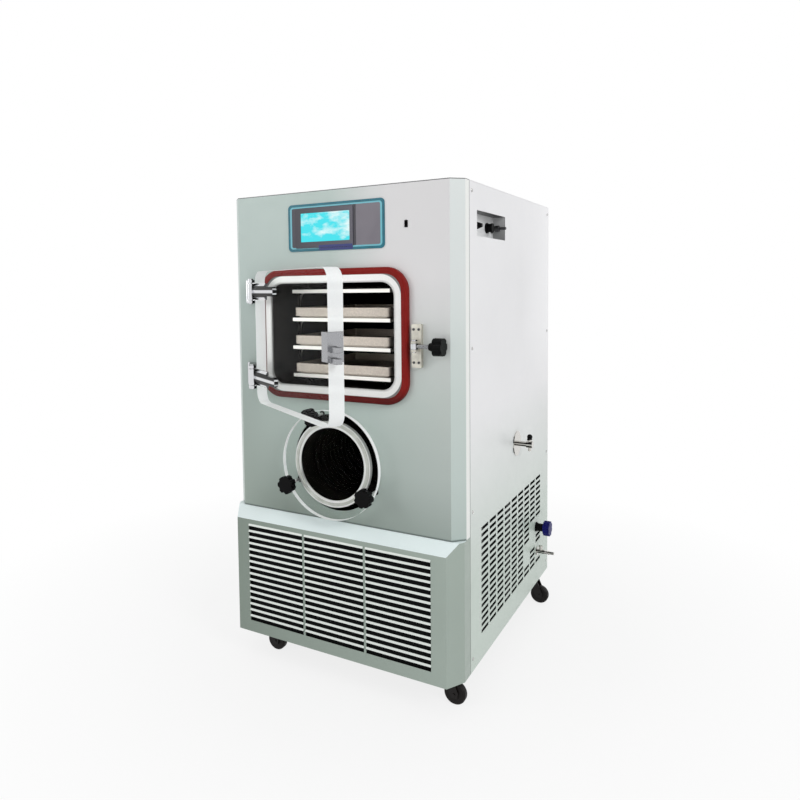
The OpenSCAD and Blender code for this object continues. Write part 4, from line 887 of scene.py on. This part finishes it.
def filter_mats():
    """Mats between the frame's posts behind the side louvres, and behind the base's and rear's slots."""
    material = foam()
    x_axis, y_axis, z_axis = (1, 0, 0), (0, 1, 0), (0, 0, 1)
    behind, gap = 12 * MM, 1 * MM
    top, bottom = 0.66, 0.04
    for side, name in ((1, "right"), (-1, "left")):
        for index, (near, far) in enumerate(zip(POST_YS, POST_YS[1:]), 1):
            start, end = near + TUBE_W / 2 + gap, far - TUBE_W / 2 - gap
            foam_mat(f"{name}_filter_{index}", (side * (cad_side - behind), start, bottom),
                     y_axis, z_axis, end - start, top - bottom, material)
    grille_y, grille_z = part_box("plinth_grille")[0].y + 14 * MM, 0.02
    grille_w, grille_h = 0.63, 0.315
    foam_mat("base_filter", (-grille_w / 2, grille_y, grille_z), x_axis, z_axis, grille_w, grille_h, material)
    slots_w, slots_h = 0.42, 0.18
    for index, start in enumerate((0.225, 0.975), 1):
        foam_mat(f"rear_filter_{index}", (-slots_w / 2, rear_lo.y - behind, start),
                 x_axis, z_axis, slots_w, slots_h, material)


def band_clamp(bm, centre, radius, width):
    """A worm-drive clamp round a stub along X: a rolled band, its screw housing and its screw."""
    sides, thick, lip = 36, 0.7 * MM, 0.4 * MM
    section = [(radius, -width / 2), (radius + thick, lip - width / 2),
               (radius + thick, width / 2 - lip), (radius, width / 2)]
    rows = [[bm.verts.new(centre + Vector((u, r * math.cos(angle), r * math.sin(angle))))
             for r, u in section] for angle in (2 * math.pi * i / sides for i in range(sides))]
    for near, far in zip(rows, rows[1:] + rows[:1]):
        bridge(bm, near, far)
    screw_out, screw_r, screw_len = 1.6 * MM, 1.8 * MM, 11 * MM
    place = Matrix.Translation(centre - Vector((0, radius + screw_out, 0)))
    housing = Matrix.Diagonal((width * 0.8, 3 * MM, 7 * MM, 1))
    bmesh.ops.create_cube(bm, size=1, matrix=place @ housing)
    bmesh.ops.create_cone(bm, cap_ends=True, segments=16, radius1=screw_r, radius2=screw_r,
                          depth=screw_len, matrix=place)


def hose_clamps():
    """A clamp on the stub of each shelf's hose."""
    hose_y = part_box("shelf_hoses")[0].y + HOSE_R + 1 * MM
    stub_out, stub_r, band_w = 2.5 * MM, HOSE_R + 1.1 * MM, 6 * MM
    bm = bmesh.new()
    for index in range(1, 5):
        lo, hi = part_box(f"shelf_{index}")
        centre = Vector((lo.x - stub_out, hose_y, (lo.z + hi.z) / 2))
        band_clamp(bm, centre, stub_r, band_w)
    piece = new_piece("hose_clamps", bm, "cabinet", "screw_steel")
    round_edges(piece, 0.3)


def cap_screw(bm, matrix, radius, height, sides=36):
    """A socket cap screw: a chamfered head with a hexagonal recess, facing local +Z."""
    chamfer = 0.5 * MM
    key_r, key_deep = radius * 0.55, height * 0.6

    def hexagon(z):
        half_side = math.pi / 6
        for point in circle_points(1, z, sides):
            angle = math.atan2(point.y, point.x)
            share = math.cos(half_side) / math.cos(angle % (2 * half_side) - half_side)
            yield Vector((point.x * key_r * share, point.y * key_r * share, z))

    outline = [(radius, 0), (radius, height - chamfer), (radius - chamfer, height)]
    rings = [circle_points(r, z, sides) for r, z in outline]
    rings += [hexagon(height), hexagon(height - key_deep)]
    rows = [[bm.verts.new(matrix @ point) for point in ring] for ring in rings]
    for near, far in zip(rows, rows[1:]):
        bridge(bm, far, near)
    bm.faces.new(rows[-1])
    bm.faces.new(list(reversed(rows[0])))


def latch_screws():
    """Four cap screws that hold the latch block to the panel."""
    lo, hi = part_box("latch_block")
    centre = (lo + hi) / 2
    block_t, head_r, head_t = 13.5 * MM, 3.4 * MM, 2.4 * MM
    seat_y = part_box("front_panel")[0].y - block_t
    across, up = 7 * MM, (hi.z - lo.z) * 0.38
    bm = bmesh.new()
    for side in (-1, 1):
        for row in (-1, 1):
            place = Vector((centre.x + side * across, seat_y, centre.z + row * up))
            cap_screw(bm, Matrix.Translation(place) @ facing_turn((0, -1, 0)), head_r, head_t)
    piece = new_piece("latch_screws", bm, "cabinet", "screw_steel", FINISHES["nozzle_metal"])
    smooth(piece, 35)


# ---- Camera, stage and light ----

CAMERA_PLACE = (0.9869, -2.0764, 1.0315)
CAMERA_YAW_PITCH_ROLL = (30.645, 3.537, -0.836)
CAMERA_SENSOR, CAMERA_LENS = 36, 31.25
CAMERA_SHIFT = (0.075, -0.0875)
LAMP_TARGET = (0, 0, 0.6)
FLOOR_SIZE, FLOOR_DROP, FLOOR_GREY = 30, 0.5 * MM, 0.86

# The floor's own light: its share of the surface near the middle and far out, and where these lie
GLOW_NEAR, GLOW_FAR = 0.82, 1.0
GLOW_START, GLOW_END = 0.7, 1.7


def camera():
    """The photograph's view: a little above the middle, from the right of the front."""
    place = Vector(CAMERA_PLACE)
    yaw, pitch, roll = (math.radians(a) for a in CAMERA_YAW_PITCH_ROLL)
    forward = Vector((-math.sin(yaw) * math.cos(pitch), math.cos(yaw) * math.cos(pitch), -math.sin(pitch)))
    level = Vector((math.cos(yaw), math.sin(yaw), 0))
    over = level.cross(forward)
    right = level * math.cos(roll) + over * math.sin(roll)
    up = over * math.cos(roll) - level * math.sin(roll)
    data = bpy.data.cameras.new("camera")
    data.sensor_width, data.lens = CAMERA_SENSOR, CAMERA_LENS
    data.shift_x, data.shift_y = CAMERA_SHIFT
    cam = bpy.data.objects.new("camera", data)
    cam.matrix_world = Matrix.Translation(place) @ Matrix((right, up, -forward)).transposed().to_4x4()
    bpy.context.scene.collection.objects.link(cam)
    bpy.context.scene.camera = cam


def seen_rays(tree):
    """1 for camera, glossy and transmission rays, 0 for the rays that light the object."""
    path = tree.nodes.new("ShaderNodeLightPath")
    total = path.outputs["Is Camera Ray"]
    for label in ("Is Glossy Ray", "Is Transmission Ray"):
        either = tree.nodes.new("ShaderNodeMath")
        either.operation = "MAXIMUM"
        tree.links.new(total, either.inputs[0])
        tree.links.new(path.outputs[label], either.inputs[1])
        total = either.outputs[0]
    return total


def backdrop():
    """A white surround that lights the object at a plain level."""
    world = bpy.data.worlds.new("surround")
    world.use_nodes = True
    bpy.context.scene.world = world
    tree = world.node_tree
    background = tree.nodes["Background"]
    background.inputs["Color"].default_value = (1, 1, 1, 1)
    level = tree.nodes.new("ShaderNodeMapRange")
    tree.links.new(seen_rays(tree), level.inputs["Value"])
    level.inputs["To Min"].default_value = WORLD_LIGHT
    level.inputs["To Max"].default_value = 1.0
    tree.links.new(level.outputs[0], background.inputs["Strength"])


def floor():
    """A pale floor that shows white and keeps a soft shadow near the object."""
    bpy.ops.mesh.primitive_plane_add(size=FLOOR_SIZE, location=(0, 0, cad_lo.z - FLOOR_DROP))
    ground = bpy.context.object
    ground.name = "floor"
    material = bpy.data.materials.new("floor")
    material.use_nodes = True
    tree = material.node_tree
    diffuse = tree.nodes["Principled BSDF"]
    diffuse.inputs["Base Color"].default_value = (FLOOR_GREY, FLOOR_GREY, FLOOR_GREY, 1)
    diffuse.inputs["Roughness"].default_value = 0.9
    diffuse.inputs["Specular IOR Level"].default_value = 0.1
    glow = tree.nodes.new("ShaderNodeEmission")
    place = tree.nodes.new("ShaderNodeTexCoord")
    away = tree.nodes.new("ShaderNodeVectorMath")
    away.operation = "LENGTH"
    fade = tree.nodes.new("ShaderNodeMapRange")
    for label, value in (("From Min", GLOW_START), ("From Max", GLOW_END),
                         ("To Min", GLOW_NEAR), ("To Max", GLOW_FAR)):
        fade.inputs[label].default_value = value
    share = tree.nodes.new("ShaderNodeMath")
    share.operation = "MULTIPLY"
    blend = tree.nodes.new("ShaderNodeMixShader")
    for output, socket in (
            (place.outputs["Object"], away.inputs[0]), (away.outputs["Value"], fade.inputs["Value"]),
            (seen_rays(tree), share.inputs[0]), (fade.outputs[0], share.inputs[1]),
            (share.outputs[0], blend.inputs[0]), (diffuse.outputs[0], blend.inputs[1]),
            (glow.outputs[0], blend.inputs[2]),
            (blend.outputs[0], tree.nodes["Material Output"].inputs["Surface"])):
        tree.links.new(output, socket)
    ground.data.materials.append(material)


def lamp(name, place, size, power):
    """A round soft lamp that points at the object."""
    data = bpy.data.lights.new(name, "AREA")
    data.shape = "DISK"
    data.size = size
    data.energy = power
    light = bpy.data.objects.new(name, data)
    light.location = place
    light.rotation_euler = (Vector(LAMP_TARGET) - Vector(place)).to_track_quat("-Z", "Y").to_euler()
    bpy.context.scene.collection.objects.link(light)


camera()
backdrop()
floor()
lamp("key", (4.4, -2.4, 3.4), size=2.2, power=88)
lamp("fill", (-3.0, -4.0, 2.2), size=2.6, power=40)
bpy.context.scene.view_settings.view_transform = "Standard"

finish_cad()
for radius, names in EDGES.items():
    for node_name in names:
        round_edges(frame["nodes"][node_name], radius)
screw_heads()
door_seal()
filter_mats()
hose_clamps()
latch_screws()
